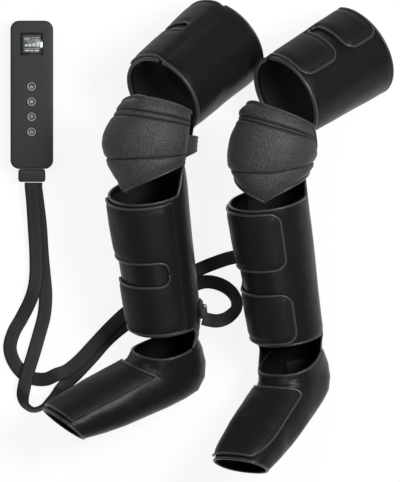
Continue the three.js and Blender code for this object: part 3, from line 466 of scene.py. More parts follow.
lens_parts.append(mark(-15.5, -15.5, 15.5, 15.5, dim_material))
for place in [
    (-13, 9.5, -3.5, 10.7), (-13, 6.6, -5.5, 7.6), (0.5, 10.2, 13, 11), (0.5, 7.6, 11.5, 8.3),
    (0.5, 5, 13, 5.7), (-13, 3, 13, 3.4), (-12, -4.5, -7, -0.5), (-5.6, -4.5, -0.6, 0.5),
    (0.8, -4.5, 5.8, 1.3), (7.2, -4.5, 12.2, 2), (-13, -8, 13, -7.4), (-12, -12.6, -4, -10),
    (-2.6, -12.6, 2.4, -10), (4, -12.6, 12.4, -10),
]:
    lens_parts.append(mark(*place, shown_material, 0.00006))
lens = joined("handset_screen", *lens_parts)
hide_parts("handset_screen_lens")
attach(lens, "set")


# Keys: four round push keys, each a black dish in a fine pale ring, with a plain sign: up,
# mode bars, down, and the standard power sign on the lowest. They leave room under them to travel.
def ring_on(name, middle, radius, thickness, height, material, start=0.0, end=360.0):
    """A thin flat ring, or part of one, lying on a key."""
    angles = np.radians(np.linspace(start, end, 41))
    rings = []
    for angle in angles:
        out = np.array([math.cos(angle), math.sin(angle), 0])
        base = np.array([middle[0], middle[1], height])
        section = []
        for r, z in [(-1, -1), (1, -1), (1, 1), (-1, 1)]:
            section.append(base + out * (radius + r * thickness / 2) + np.array([0, 0, z * 0.00008]))
        rings.append(section)
    return add_mesh(name, *swept(np.array(rings)), material)


key_material = plain_material("key_black", (0.016, 0.016, 0.017), 0.38)
key_mark_material = plain_material("key_marks", (0.5, 0.5, 0.51), 0.5)
# the strokes of each key's sign, in millimetres from its middle
key_strokes = [
    [(-2.4, -1.2, 0, 1.6), (0, 1.6, 2.4, -1.2), (-2.4, -2.2, 2.4, -2.2)],
    [(-2.4, 1.8, 2.4, 1.8), (-2.4, 0, 2.4, 0), (-2.4, -1.8, 2.4, -1.8)],
    [(-2.4, 1.2, 0, -1.6), (0, -1.6, 2.4, 1.2), (-2.4, 2.2, 2.4, 2.2)],
    [(0, 0.4, 0, 3.2)],
]
# how far a key reaches into the case, and from its side to the middle of its dish: widths and how
# far each lies under the rim
key_base = 0.0026
key_widths = (0.0146, 0.0142, 0.0134, 0.0122, 0.009, 0.001)
key_depths = (0.0006, 0.0001, 0, 0.0004, 0.0006, 0.0006)
for index, (x, y) in enumerate(button_places, 1):
    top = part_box(f"handset_button_{index}")[1].z
    profile = [round_layer(key_widths[0], case_high.z - key_base)]
    profile += [round_layer(width, top - below) for width, below in zip(key_widths, key_depths)]
    parts = [stacked("key", profile, key_material, (x, y))]
    parts.append(ring_on("ring", (x, y), 0.00655, 0.0007, top + 0.00002, key_mark_material))
    sign = top - 0.0005

    def stroke(x0, y0, x1, y1, width=0.0008):
        a, b = Vector((x + x0 / 1000, y + y0 / 1000, 0)), Vector((x + x1 / 1000, y + y1 / 1000, 0))
        along = (b - a).normalized()
        out = Vector((-along.y, along.x, 0)) * width / 2
        points = []
        for z in (sign - 0.0002, sign + 0.0001):
            for corner in (a + out, b + out, b - out, a - out):
                points.append((corner.x, corner.y, z))
        faces = [(0, 1, 2, 3), (7, 6, 5, 4), (0, 4, 5, 1), (1, 5, 6, 2), (2, 6, 7, 3), (3, 7, 4, 0)]
        return add_mesh("stroke", points, faces, key_mark_material)

    if index == 4:
        parts.append(ring_on("sign", (x, y), 0.0026, 0.0008, sign, key_mark_material, 125, 415))
    parts += [stroke(*ends) for ends in key_strokes[index - 1]]
    key = joined(f"handset_key_{index}", *parts)
    shaded(key, 40)
    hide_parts(f"handset_button_{index}")
    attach(key, f"button_{index}")


# Calf wraps: stiff black satin round the shin, its edges meeting at the side where the tabs are
# sewn on, with a level front rim and a tall panel behind the knee. The liner is the air chamber.
def leg_frame(leg, azimuth):
    """The frame of a leg at its ankle: z up the leg, x to its front, which is turned by the azimuth."""
    lean, tilt, azimuth = (math.radians(v) for v in (leg["lean"], leg["tilt"], azimuth))
    upward = np.array([-math.sin(lean) * math.cos(tilt), math.cos(lean) * math.cos(tilt), math.sin(tilt)])
    level = np.array([math.cos(lean), math.sin(lean), 0])
    facing = np.array([math.sin(lean) * math.sin(tilt), -math.cos(lean) * math.sin(tilt), math.cos(tilt)])
    forward = -math.sin(azimuth) * level + math.cos(azimuth) * facing
    matrix = np.eye(4)
    matrix[:3, :3] = np.column_stack([forward, np.cross(upward, forward), upward])
    matrix[:3, 3] = leg["origin"]
    return matrix


def turned_about_y(angle, height):
    """A turn about the level axis at a height above the frame's origin."""
    angle = math.radians(angle)
    matrix = np.eye(4)
    matrix[0, 0], matrix[0, 2] = math.cos(angle), math.sin(angle)
    matrix[2, 0], matrix[2, 2] = -math.sin(angle), math.cos(angle)
    matrix[:3, 3] = np.array([0, 0, height]) - matrix[:3, :3] @ np.array([0, 0, height])
    return matrix


def turned_about_z(angle):
    angle = math.radians(angle)
    matrix = np.eye(4)
    matrix[:2, :2] = [[math.cos(angle), -math.sin(angle)], [math.sin(angle), math.cos(angle)]]
    return matrix


legs = {
    "left": {"side": -1, "origin": (-0.062608, -0.148952, 0.0836), "lean": 7.7, "tilt": 20.75, "azimuth": 63,
             "knee_azimuth": 42.3, "flex": 78.6, "foot_turn": 8.2, "pad_turn": -10, "rise": 0.0},
    "right": {"side": 1, "origin": (0.146544, -0.167872, 0.0903), "lean": 8.6, "tilt": 16.8, "azimuth": 36,
              "knee_azimuth": 51.4, "flex": 80.8, "foot_turn": 22.1, "pad_turn": 0, "rise": 0.016},
}
calf_height, calf_back_rise = 0.246, 0.04
knee_height, knee_set_back = 0.382, 0.015
heel_height = -0.036
cover_lift, thigh_start = 0.014, 0.055
for leg in legs.values():
    leg["calf"] = leg_frame(leg, leg["azimuth"])
    leg["foot"] = leg["calf"] @ turned_about_y(leg["foot_turn"], heel_height)
    leg["knee"] = leg_frame(leg, leg["knee_azimuth"])
    leg["knee"][:3, 3] = (leg["knee"] @ np.array([-knee_set_back, 0, knee_height, 1]))[:3]
    leg["pad"] = leg["knee"] @ turned_about_z(leg["pad_turn"] * leg["side"])
    leg["pad"][2, 3] += cover_lift
    lift, shift = np.eye(4), np.eye(4)
    lift[2, 3], shift[2, 3] = leg["rise"], thigh_start
    leg["knee_to_thigh"] = lift @ turned_about_y(-leg["flex"], 0) @ shift
    leg["thigh"] = leg["knee"] @ leg["knee_to_thigh"]


def ease(value):
    value = np.clip(value, 0, 1)
    return value * value * (3 - 2 * value)


def on_leg(points, leg, part):
    """Points of one part's own frame in the shared frame. The left leg is the right one mirrored."""
    points = np.array(points, float)
    points[..., 1] *= leg["side"]
    points = points @ leg[part][:3, :3].T + leg[part][:3, 3]
    if part == "foot":
        # the toes lie a little nearer to the surface
        points[..., 2] -= 0.006 * ease((points[..., 2] - 0.11) / 0.07)
    return points


def grid(angles, shares):
    return np.meshgrid(angles, shares, indexing="ij")


def around(angle, radius, height):
    angle = np.radians(angle)
    return np.stack([radius * np.cos(angle), radius * np.sin(angle), height * np.ones_like(angle)], axis=-1)


def creases(points, size, seed, stretch=(1, 1, 1)):
    """Soft random folds, from -1 to 1, at each point."""
    flat = points.reshape(-1, 3) / size * np.array(stretch) + seed * 7.31
    values = [noise.noise(Vector(p)) + 0.5 * noise.noise(Vector(p * 2.1 + 3.7)) for p in flat]
    return np.array(values).reshape(points.shape[:-1]) / 1.2


def sheet_shell(name, outer, inner, material, ring=False):
    """A closed skin from an outer and an inner grid of points, joined round the edge."""
    rows, columns = outer.shape[:2]
    count = rows * columns
    index = np.arange(count).reshape(rows, columns)
    faces = []
    wrap = list(range(rows)) + ([0] if ring else [])
    for a, b in zip(wrap[:-1], wrap[1:]):
        for j in range(columns - 1):
            p, q, r, s = index[a, j], index[b, j], index[b, j + 1], index[a, j + 1]
            faces.append((p, q, r, s))
            faces.append((s + count, r + count, q + count, p + count))
        for j in (0, columns - 1):
            p, q = index[a, j], index[b, j]
            faces.append((p, p + count, q + count, q))
    if not ring:
        for a in (0, rows - 1):
            for j in range(columns - 1):
                p, q = index[a, j], index[a, j + 1]
                faces.append((p, q, q + count, p + count))
    return add_mesh(name, np.vstack([outer.reshape(-1, 3), inner.reshape(-1, 3)]), faces, material)


def skin(name, leg, part, outer, inner, material, ring=False):
    """A closed skin on a part of a leg, from points in the part's own frame."""
    return sheet_shell(name, on_leg(outer, leg, part), on_leg(inner, leg, part), material, ring)


def cloth_material(name, colour, roughness, weave, fold, sheen, gloss):
    """Woven cloth: a fine weave and larger soft unevenness, both as relief only."""
    material = plain_material(name, colour, roughness)
    nodes, links = nodes_of(material)
    shader = nodes["Principled BSDF"]
    shader.inputs["Specular IOR Level"].default_value = gloss
    shader.inputs["Sheen Weight"].default_value = sheen
    shader.inputs["Sheen Roughness"].default_value = 0.4
    coordinates = nodes.new("ShaderNodeTexCoord")
    bumps = []
    for scale, detail, strength, distance in ((38, 3, fold, 0.004), (700, 2, weave, 0.0005)):
        texture = nodes.new("ShaderNodeTexNoise")
        texture.inputs["Scale"].default_value = scale
        texture.inputs["Detail"].default_value = detail
        bump = nodes.new("ShaderNodeBump")
        bump.inputs["Strength"].default_value = strength
        bump.inputs["Distance"].default_value = distance
        links.new(coordinates.outputs["Object"], texture.inputs["Vector"])
        links.new(texture.outputs["Fac"], bump.inputs["Height"])
        bumps.append(bump)
    links.new(bumps[0].outputs["Normal"], bumps[1].inputs["Normal"])
    links.new(bumps[1].outputs["Normal"], shader.inputs["Normal"])
    return material


satin = cloth_material("black_satin", (0.0065, 0.0065, 0.0075), 0.36, 0.35, 0.3, 0.02, 0.15)
tab_satin = cloth_material("tab_satin", (0.0065, 0.0065, 0.0075), 0.5, 0.35, 0.25, 0.03, 0.16)
piping_cloth = cloth_material("piping_cloth", (0.026, 0.026, 0.029), 0.36, 0.3, 0.1, 0.1, 0.4)
liner_cloth = cloth_material("liner_cloth", (0.007, 0.007, 0.008), 0.7, 0.3, 0.3, 0.02, 0.15)


def piping(points, radius=0.0022, material=piping_cloth, closed=False, sides=8):
    """A round cord of cloth sewn along an edge."""
    points = np.asarray(points, float)
    if closed:
        ahead = np.roll(points, -1, axis=0) - np.roll(points, 1, axis=0)
    else:
        ahead = np.gradient(points, axis=0)
    ahead /= np.maximum(1e-9, np.linalg.norm(ahead, axis=1))[:, None]
    side = np.zeros_like(points)
    last = np.cross(ahead[0], [0.3, 0.5, 0.8])
    for i, direction in enumerate(ahead):
        last = last - direction * (last @ direction)
        last = last / np.linalg.norm(last)
        side[i] = last
    lift = np.cross(ahead, side)
    angles = np.linspace(0, 2 * math.pi, sides, endpoint=False)
    rings = points[:, None, :] + radius * (
        np.cos(angles)[None, :, None] * side[:, None, :] + np.sin(angles)[None, :, None] * lift[:, None, :]
    )
    return add_mesh("piping", *swept(rings, closed), material)


def wrap_skin(leg, part, radius_at, angles, rows, top, seed, fold):
    """A wrap's outer cloth between its two rims, slightly puffed and creased."""
    angle, share = grid(angles, np.linspace(0, 1, rows))
    height = share * top(angle)
    reach = np.minimum(height, top(angle) - height)
    radius = radius_at(height)
    uneven = creases(around(angle, radius, height), 0.07, leg["side"] + seed, (1, 1, 0.6))
    puff = 0.0012 * ease(reach / 0.014) + fold * uneven * ease(reach / 0.03)
    outer = around(angle, radius - 0.001 + puff, height)
    return skin("wrap", leg, part, outer, around(angle, radius - 0.0038, height), satin)


def quilted_liner(name, leg, part, radius_at, tall, ends, rows, cells):
    """The bladder inside a wrap, welded into cells one above another."""
    angle, share = grid(np.linspace(*ends, 110), np.linspace(0, 1, rows))
    height = liner_inset + share * (tall - 2 * liner_inset)
    swell = np.abs(np.sin(math.pi * cells * share)) ** 0.5
    outer = around(angle, radius_at(height) - 0.0048, height)
    inner = around(angle, radius_at(height) - 0.0058 - 0.0026 * swell, height)
    return skin(name, leg, part, outer, inner, liner_cloth)


def calf_radius(height):
    return 0.0608 + (0.068 - 0.0608) * height / calf_height


def calf_top(angle):
    from_front = np.minimum(np.abs(angle), np.abs(angle - 360))
    return calf_height + calf_back_rise * ease((from_front - 108) / 30)


# how far cords lie in from the rims, how far the liners do, and the front part that is bound
cord_inset, liner_inset = 0.0018, 0.009
bound_angle = 112
for name, leg in legs.items():
    angles = np.linspace(-96.5, 262.9, 156)
    wrap = wrap_skin(leg, "calf", calf_radius, angles, 90, calf_top, 2, 0.0016)
    tops = calf_top(angles)
    front = np.linspace(-bound_angle, bound_angle, 110)
    rims = [
        piping(on_leg(around(angles, calf_radius(tops) - cord_inset, tops - 0.0005), leg, "calf")),
        piping(on_leg(around(front, calf_radius(0.0) - cord_inset, cord_inset), leg, "calf")),
    ]
    calf = joined(f"{name}_calf_cover", wrap, *rims)
    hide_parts(f"{name}_calf_wrap")
    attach(calf, "set")

    liner = quilted_liner(f"{name}_calf_liner", leg, "calf", calf_radius, calf_height, (-68, 251), 60, 3)
    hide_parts(f"{name}_calf_air_chamber")
    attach(liner, "set")


# Closing tabs of the calf and thigh wraps: wide hook and loop tabs with rounded ends, a
# round-ended slot between them, and piping sewn round each but for its root.
def corner_inset(distance, radius):
    left = np.maximum(0, radius - distance)
    return radius - np.sqrt(np.maximum(0, radius * radius - left * left))


def wrap_tab(name, leg, part, shape, upper, seed):
    """One closing tab, padded, thin at its root, with piping along its edges."""
    root, end, slot_end, radius_at = shape["root"], shape["end"], shape["slot_end"], shape["radius"]
    corner, low_edge, seam_gap = 0.02, 0.005, 0.00015
    sewn_run, cord_set_in = 0.018, 0.0012
    degrees = 180 / (math.pi * radius_at(0.0))
    middle = low_edge + shape["lower"] + shape["slot"] / 2

    def edges(angle):
        into = corner_inset(np.abs(end - angle) / degrees, corner)
        opened = shape["slot"] / 2 - corner_inset((angle - slot_end) / degrees, shape["slot_round"])
        half = np.where(angle <= slot_end, seam_gap, np.maximum(seam_gap, opened))
        if upper:
            return middle + half + into, shape["top"] - into
        return low_edge + into, middle - half - into

    crowded = 1 - (1 - np.linspace(0, 1, 16)) ** 2
    around_slot = slot_end + np.linspace(0, 1, 12) ** 1.6 * shape["slot_round"] * degrees
    corner_start = end - corner * degrees
    angles = np.concatenate([
        np.linspace(root, slot_end, 10),
        around_slot[1:],
        np.linspace(around_slot[-1], corner_start, 44)[1:],
        (corner_start + crowded * corner * degrees)[1:],
    ])
    shares = np.concatenate([[0, 0.015, 0.04], np.linspace(0.08, 0.92, 30), [0.96, 0.985, 1]])
    angle, share = grid(angles, shares)
    low, high = edges(angle)
    height = low + share * (high - low)
    middle_edge = np.where(angle <= slot_end, 1.0, height - low if upper else high - height)
    outer_edge = high - height if upper else height - low
    reach = np.minimum(np.minimum(middle_edge, outer_edge), np.abs(end - angle) / degrees)
    sewn = ease((angle - root) / degrees / sewn_run)
    radius = radius_at(height)
    uneven = creases(around(angle, radius, height), 0.05, seed)
    thick = 0.0022 + 0.003 * ease(reach / 0.016) + 0.0009 * uneven * ease(reach / 0.02)
    thick = thick * (0.06 + 0.94 * sewn)
    outer = around(angle, radius + 0.0008 * sewn + thick, height)
    inner = around(angle, radius + 0.0008 * sewn - 0.0004 * (1 - sewn), height)
    tab = skin("tab", leg, part, outer, inner, tab_satin)

    low_line, high_line = edges(angles)
    low_line, high_line = low_line + cord_set_in, high_line - cord_set_in
    slot_line, rim_line = (low_line, high_line) if upper else (high_line, low_line)
    opened = angles >= slot_end
    line_angles = np.concatenate([angles[opened], angles[::-1]])
    line_heights = np.concatenate([slot_line[opened], rim_line[::-1]])
    sunk = ease((line_angles - root) / degrees / sewn_run)
    line = around(line_angles, radius_at(line_heights) - 0.0016 + 0.005 * sunk, line_heights)
    return joined(name, tab, piping(on_leg(line, leg, part)))


thigh_height = 0.182


def thigh_radius(height):
    return 0.0745 + (0.081 - 0.0745) * height / thigh_height


tab_shapes = {
    "calf": {"radius": calf_radius, "root": -97, "end": 48, "slot_end": -79, "lower": 0.09, "slot": 0.042,
             "slot_round": 0.016, "top": 0.241, "seed": 0},
    "thigh": {"radius": thigh_radius, "root": -20, "end": 56, "slot_end": -4, "lower": 0.082, "slot": 0.02,
              "slot_round": 0.009, "top": 0.177, "seed": 10},
}
for name, leg in legs.items():
    for place, shape in tab_shapes.items():
        for part, seed in (("lower", 5), ("upper", 3)):
            seed += leg["side"] + shape["seed"]
            tab = wrap_tab(f"{name}_{place}_{part}_tab_cover", leg, place, shape, part == "upper", seed)
            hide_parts(f"{name}_{place}_{part}_tab")
            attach(tab, f"{name}_{place}_{part}_tab")


# Foot wraps: an open-toed boot of the same satin from the toes to the ankle collar, with a
# quilted sole cell, and a closing flap over the instep that is sewn on along one side.
foot_length, foot_width, foot_depth, heel_back = 0.3, 0.1105, 0.1358, 0.054
# from toe to collar, as shares of the foot: instep forward and down, sole forward and down, width
foot_shares = np.array([
    (1.007, 0.381, 0.88, 0.863, 0.9), (0.84, 0.337, 0.747, 0.924, 0.96), (0.712, 0.307, 0.613, 0.962, 1),
    (0.602, 0.294, 0.46, 0.981, 1), (0.522, 0.278, 0.313, 1, 0.99), (0.479, 0.273, 0.187, 1, 0.97),
    (0.456, 0.258, 0.097, 0.975, 0.95), (0.432, 0.243, 0.033, 0.841, 0.95),
    (0.416, 0.228, 0.003, 0.649, 0.96), (0.402, 0.214, 0, 0.427, 0.98), (0.392, 0.199, 0.013, 0.251, 0.98),
])


def foot_point(angle, place, depth):
    """A point of the foot at an angle round its section, a place from toe to collar and a depth."""
    depth = depth * np.ones_like(angle)
    at = place * (len(foot_shares) - 1) * np.ones_like(angle)
    row = [np.interp(at, range(len(foot_shares)), foot_shares[:, k]) for k in range(5)]
    instep, sole = (
        np.stack([row[k] * foot_length - heel_back, np.zeros_like(at), -row[k + 1] * foot_depth], axis=-1)
        for k in (0, 2)
    )
    upward = instep - sole
    deep = np.linalg.norm(upward, axis=-1, keepdims=True)
    angle = np.radians(angle)
    rounded = [np.sign(v) * np.abs(v) ** (2 / 2.3) for v in (np.cos(angle), np.sin(angle))]
    point = (instep + sole) / 2 + upward / deep * (deep / 2 - depth[..., None]) * rounded[0][..., None]
    point[..., 1] = (row[4] * foot_width / 2 - depth) * rounded[1]
    point[..., 2] -= 0.009 * np.sin(angle) ** 2 * np.maximum(0, at - len(foot_shares) + 2)
    return point


flap_start, flap_end, flap_edge, flap_corner, flap_gap = 0.02, 0.6, 60, 0.026, 0.0012


def flap_edges(angle):
    arc = (flap_edge - angle) * math.pi * foot_width / 360
    into = corner_inset(arc, flap_corner) / foot_length * 1.6
    return flap_start + into, flap_end - into


for name, leg in legs.items():
    angles = np.linspace(0, 360, 121)[:-1]
    angle, place = grid(angles, np.concatenate([np.linspace(0, 0.3, 24), np.linspace(0.3, 1, 60)[1:]]))
    uneven = creases(foot_point(angle, place, 0), 0.05, leg["side"] + 21)
    reach = np.minimum(place * 0.34, (1 - place) * 0.34)
    bulge = 0.0008 * ease(reach / 0.012) + 0.0018 * uneven * ease(reach / 0.04)
    # the sole stays flat
    bulge = bulge * ease((np.abs(angle - 180) - 40) / 30)
    boot = skin(
        "boot", leg, "foot", foot_point(angle, place, 0.0008 - bulge), foot_point(angle, place, 0.0038),
        satin, ring=True,
    )
    front = np.linspace(-bound_angle, bound_angle, 100)
    rims = [
        piping(on_leg(foot_point(angles, 0.004, cord_inset), leg, "foot"), closed=True),
        piping(on_leg(foot_point(front, 0.996, cord_inset), leg, "foot")),
    ]
    boot = joined(f"{name}_foot_cover", boot, *rims)
    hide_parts(f"{name}_foot_wrap")
    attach(boot, f"{name}_foot")

    angle, place = grid(np.linspace(122, 238, 40), np.linspace(0.1, 0.8, 60))
    cells = np.abs(np.sin(math.pi * 4 * (place - 0.1) / 0.7)) ** 0.5
    outer, inner = (foot_point(angle, place, depth) for depth in (0.0048, 0.0062 + 0.0024 * cells))
    sole = skin(f"{name}_foot_liner", leg, "foot", outer, inner, liner_cloth)
    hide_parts(f"{name}_foot_air_chamber")
    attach(sole, f"{name}_foot")

    # the flap, sewn along one side of the boot and free on the other
    rounded = flap_edge - 40 * (1 - np.linspace(0, 1, 26)[1:]) ** 1.7
    angles = np.concatenate([np.linspace(-flap_edge, flap_edge - 40, 50), rounded])
    angle, share = grid(angles, np.linspace(0, 1, 70))
    low, high = flap_edges(angle)
    place = low + share * (high - low)
    uneven = creases(foot_point(angle, place, 0), 0.04, leg["side"] + 31)
    from_ends = np.minimum(share, 1 - share) * (high - low) * foot_length
    reach = np.minimum(from_ends, (flap_edge - angle) * 0.0009)
    thick = 0.0022 + 0.0024 * ease(reach / 0.014) + 0.0008 * uneven * ease(reach / 0.02)
    outer, inner = (foot_point(angle, place, depth) for depth in (-flap_gap - thick, -flap_gap))
    flap = skin("flap", leg, "foot", outer, inner, tab_satin)
    low_line, high_line = flap_edges(angles)
    line_places = np.concatenate([low_line + 0.003, high_line[::-1] - 0.003])
    line = foot_point(np.concatenate([angles, angles[::-1]]), line_places, -0.0034)
    flap = joined(f"{name}_foot_flap_cover", flap, piping(on_leg(line, leg, "foot")))
    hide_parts(f"{name}_foot_flap")
    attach(flap, f"{name}_foot_flap")


# Ankle webs: soft cloth behind each ankle that joins the boot to the calf wrap, with a few shallow
# tucks. The right one reaches further round on its inner side.
web_cloth = cloth_material("web_cloth", (0.0065, 0.0065, 0.0075), 0.5, 0.3, 0.35, 0.02, 0.2)
web_radius, web_half_angle, web_thickness = 0.06, 64, 0.0024
for name, leg in legs.items():
    inner_end = 292 if name == "right" else 180 + web_half_angle
    angle, share = grid(np.linspace(180 - web_half_angle, inner_end, 80), np.linspace(0, 1, 24))
    bow = 9 * np.sin(math.pi * share)
    bowed = 180 + (angle - 180) * (1 - bow / web_half_angle)
    turn = turned_about_y(leg["foot_turn"], heel_height)

    def web(offset):
        calf = around(bowed, web_radius - offset, -0.0003)
        collar = foot_point(bowed, 1, offset) @ turn[:3, :3].T + turn[:3, 3]
        collar[..., 2] += 0.0006
        return collar + (calf - collar) * share[..., None]

    tuck = 0.0004 * np.sin(share * math.pi * 5)
    gusset = skin("web", leg, "calf", web(tuck), web(tuck + web_thickness), web_cloth)
    sides = [piping(on_leg(web(web_thickness / 2)[row], leg, "calf"), 0.0018) for row in (0, -1)]
    gusset = joined(f"{name}_ankle_web", gusset, *sides)
    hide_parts(f"{name}_ankle_gusset")
    heel, rim = on_leg([(-web_radius, 0, heel_height), (-web_radius, 0, 0)], leg, "calf")
    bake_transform(gusset)


# Knee covers: a domed pad of greyer knit with a V tip, a doubled collar band, a cross seam,
# piping along the V and a strap behind the knee. The heat pad lies inside it.
knee_cloth = cloth_material("knee_cloth", (0.0125, 0.0125, 0.0138), 0.6, 0.6, 0.4, 0.2, 0.2)
knee_nodes, knee_links = nodes_of(knee_cloth)
heather = knee_nodes.new("ShaderNodeTexNoise")
heather.inputs["Scale"].default_value = 420
heather.inputs["Detail"].default_value = 3
heather_tones = knee_nodes.new("ShaderNodeValToRGB")
for element, (position, tone) in zip(
    heather_tones.color_ramp.elements, [(0.36, (0.021, 0.021, 0.023, 1)), (0.64, (0.062, 0.062, 0.066, 1))]
):
    element.position, element.color = position, tone
# painted shade: the knit's colour is darkened towards its edges, where it turns away from the camera
shade_weight = knee_nodes.new("ShaderNodeLayerWeight")
shade_weight.inputs["Blend"].default_value = 0.5
painted_edge_shade = knee_nodes.new("ShaderNodeMixRGB")
# the near-black colour of the painted edge shade
painted_edge_shade.inputs["Color2"].default_value = (0.006, 0.006, 0.0068, 1)
for start, end in [
    (knee_nodes["Texture Coordinate"].outputs["Object"], heather.inputs["Vector"]),
    (heather.outputs["Fac"], heather_tones.inputs["Fac"]),
    (shade_weight.outputs["Facing"], painted_edge_shade.inputs["Fac"]),
    (heather_tones.outputs["Color"], painted_edge_shade.inputs["Color1"]),
    (painted_edge_shade.outputs["Color"], knee_nodes["Principled BSDF"].inputs["Base Color"]),
]:
    knee_links.new(start, end)
seam_cloth = cloth_material("seam_cloth", (0.008, 0.008, 0.009), 0.6, 0.2, 0.1, 0.05, 0.2)
# by side: the collar's two seams and the cross seam along the cover (share at each angle), then the
# cover's outline on its outer side, as y, x of the edge and the shift that takes the round form there
knee_forms = {
    "left": {
        "collar": (0.865, 0.805), "cross": ((-94, -20, 48, 100, 162), (0.44, 0.41, 0.365, 0.36, 0.38)),
        "edge": [
            (0.0936, -0.1492, 0.0034), (0.1107, -0.1560, 0.0017), (0.1228, -0.1630, -0.0017),
            (0.1400, -0.1681, -0.0045), (0.1572, -0.1699, -0.0058), (0.1744, -0.1665, -0.0028),
            (0.1967, -0.1579, 0.0041), (0.2156, -0.1492, 0.0095), (0.2294, -0.1440, 0.0138),
            (0.2395, -0.1302, 0.026), (0.248, -0.129, 0.026),
        ],
    },
    "right": {
        "collar": (0.85, 0.81), "cross": ((-94, -39, 51, 140, 162), (0.36, 0.3, 0.34, 0.47, 0.5)),
        "edge": [
            (0.0850, 0.0650, 0.0017), (0.1039, 0.0540, 0.0024), (0.1211, 0.0470, -0.0026),
            (0.1348, 0.0465, -0.0009), (0.1555, 0.0480, 0.0022), (0.1727, 0.0510, 0.0038),
            (0.1899, 0.0560, 0.0069), (0.2019, 0.0570, 0.0055), (0.2157, 0.0600, 0.0034),
            (0.2226, 0.0645, 0.0060), (0.2312, 0.0730, 0.0138), (0.238, 0.0780, 0.0138),
        ],
    },
}
# the run and bend of the cover's middle line, the angle of its V tip, and how far it reaches round
cover_run, cover_bend = 0.133, math.radians(38.4)
tip_angle, cover_half_angle = 34, 128


def knee_radius(share):
    tip = 0.053 * (1 - share) * (1 - 2 * share)
    return tip + 4 * 0.072 * share * (1 - share) + 0.07 * share * (2 * share - 1)


def knee_point(angle, share, offset, radius=None):
    """A point of the knee cover, whose middle line bends back evenly from the V tip to the collar."""
    lean = cover_bend * share
    bend = cover_run / cover_bend
    turn = np.radians(angle)
    reach = (knee_radius(share) if radius is None else radius) - offset
    x = 0.0046 - bend * (1 - np.cos(lean)) + np.cos(lean) * reach * np.cos(turn)
    z = bend * np.sin(lean) - 0.129 + np.sin(lean) * reach * np.cos(turn)
    return np.stack([x, reach * np.sin(turn), z], axis=-1)


def knee_low(angle):
    return 0.32 * (np.abs(angle - tip_angle) / cover_half_angle) ** 0.84


def knee_high(angle):
    return 1 - 0.28 * ease((np.abs(angle) - 98) / 40)


def on_cover(points, leg, form):
    """Points of a knee cover in the shared frame, its outer side drawn to the outline's form."""
    points = on_leg(points, leg, "pad")
    y, x, shift = np.array(form["edge"]).T
    beside = points[..., 0] - np.interp(points[..., 1], y, x - shift)
    points[..., 0] += np.interp(points[..., 1], y, shift) * (1 - ease(beside / 0.07))
    return points


def swell(share, start, end):
    """Padding that stands up between two seams."""
    return np.sin(math.pi * np.clip((share - start) / np.maximum(1e-4, end - start), 0, 1)) ** 0.7


for name, leg in legs.items():
    form = knee_forms[name]
    angles = np.linspace(tip_angle - cover_half_angle, tip_angle + cover_half_angle, 200)
    angle, part = grid(angles, np.linspace(0, 1, 160))
    low, high = knee_low(angle), knee_high(angle)
    share = low + part * (high - low)
    from_side = (cover_half_angle - np.abs(angle - tip_angle)) * 0.0012
    reach = np.minimum(np.minimum(share - low, high - share) * cover_run, from_side)
    uneven = creases(knee_point(angle, share, 0), 0.045, leg["side"] + 41)
    cross = np.interp(angle, *form["cross"])
    upper, lower = form["collar"]
    pull = sum(np.exp(-((share - at) / 0.013) ** 2) for at in (upper, lower, cross))
    padding = (
        0.0044 * swell(share, cross, lower) + 0.0034 * swell(share, low, cross)
        + 0.0016 * swell(share, upper, high)
    )
    relief = (
        0.001 * ease(reach / 0.012) + padding * ease(reach / 0.02)
        - 0.0026 * pull * ease(reach / 0.006) + 0.0014 * uneven * ease(reach / 0.02)
    )
    outer, inner = (
        on_cover(knee_point(angle, share, depth), leg, form) for depth in (0.0012 - relief, 0.0048)
    )
    pieces = [sheet_shell("pad", outer, inner, knee_cloth)]
    for at in (np.full_like(angles, upper), np.full_like(angles, lower), np.interp(angles, *form["cross"])):
        kept = (knee_low(angles) < at - 0.03) & (knee_high(angles) > at + 0.01)
        line = on_cover(knee_point(angles[kept], at[kept], 0.002), leg, form)
        pieces.append(piping(line, 0.0011, seam_cloth, sides=6))
    for at, radius, material in [
        (knee_low(angles) + 0.008, 0.0024, piping_cloth), (knee_high(angles) - 0.005, 0.0029, knee_cloth),
    ]:
        pieces.append(piping(on_cover(knee_point(angles, at, 0.001), leg, form), radius, material))
    pad = joined(f"{name}_knee_cover", *pieces)
    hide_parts(f"{name}_knee_pad")
    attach(pad, f"{name}_knee")

    angle, part = grid(np.linspace(-17, 85, 40), np.linspace(0, 1, 40))
    bottom = knee_low(angle) + 0.0677
    share = bottom + part * (1 - 0.026 / cover_run - bottom)
    inner = knee_point(angle, share, 0.009 + 0.0004 * np.sin(angle / 3) * np.sin(part * 30))
    heat = skin(f"{name}_knee_heater", leg, "pad", knee_point(angle, share, 0.0063), inner, liner_cloth)
    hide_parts(f"{name}_knee_heat_pad")
    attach(heat, f"{name}_knee")

    strap_start, strap_end = 156, 272
    angle, part = grid(np.linspace(strap_start, strap_end, 90), np.linspace(0, 1, 24))
    back = np.sin(math.pi * (angle - strap_start) / (strap_end - strap_start))
    half = (0.046 + (0.034 - 0.046) * back) / 2 / cover_run
    share = 0.52 + (0.58 - 0.52) * back + (2 * part - 1) * half
    inside = knee_radius(share) - 0.0062
    radius = inside + (0.086 - inside) * back * back
    ribs = 0.0004 * np.sin(part * math.pi * 7)
    outer, inner = (knee_point(angle, share, depth, radius) for depth in (0.0002 - ribs, 0.003))
    strap = skin(f"{name}_knee_strap_band", leg, "pad", outer, inner, knee_cloth)
    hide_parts(f"{name}_knee_strap")
    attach(strap, f"{name}_knee")


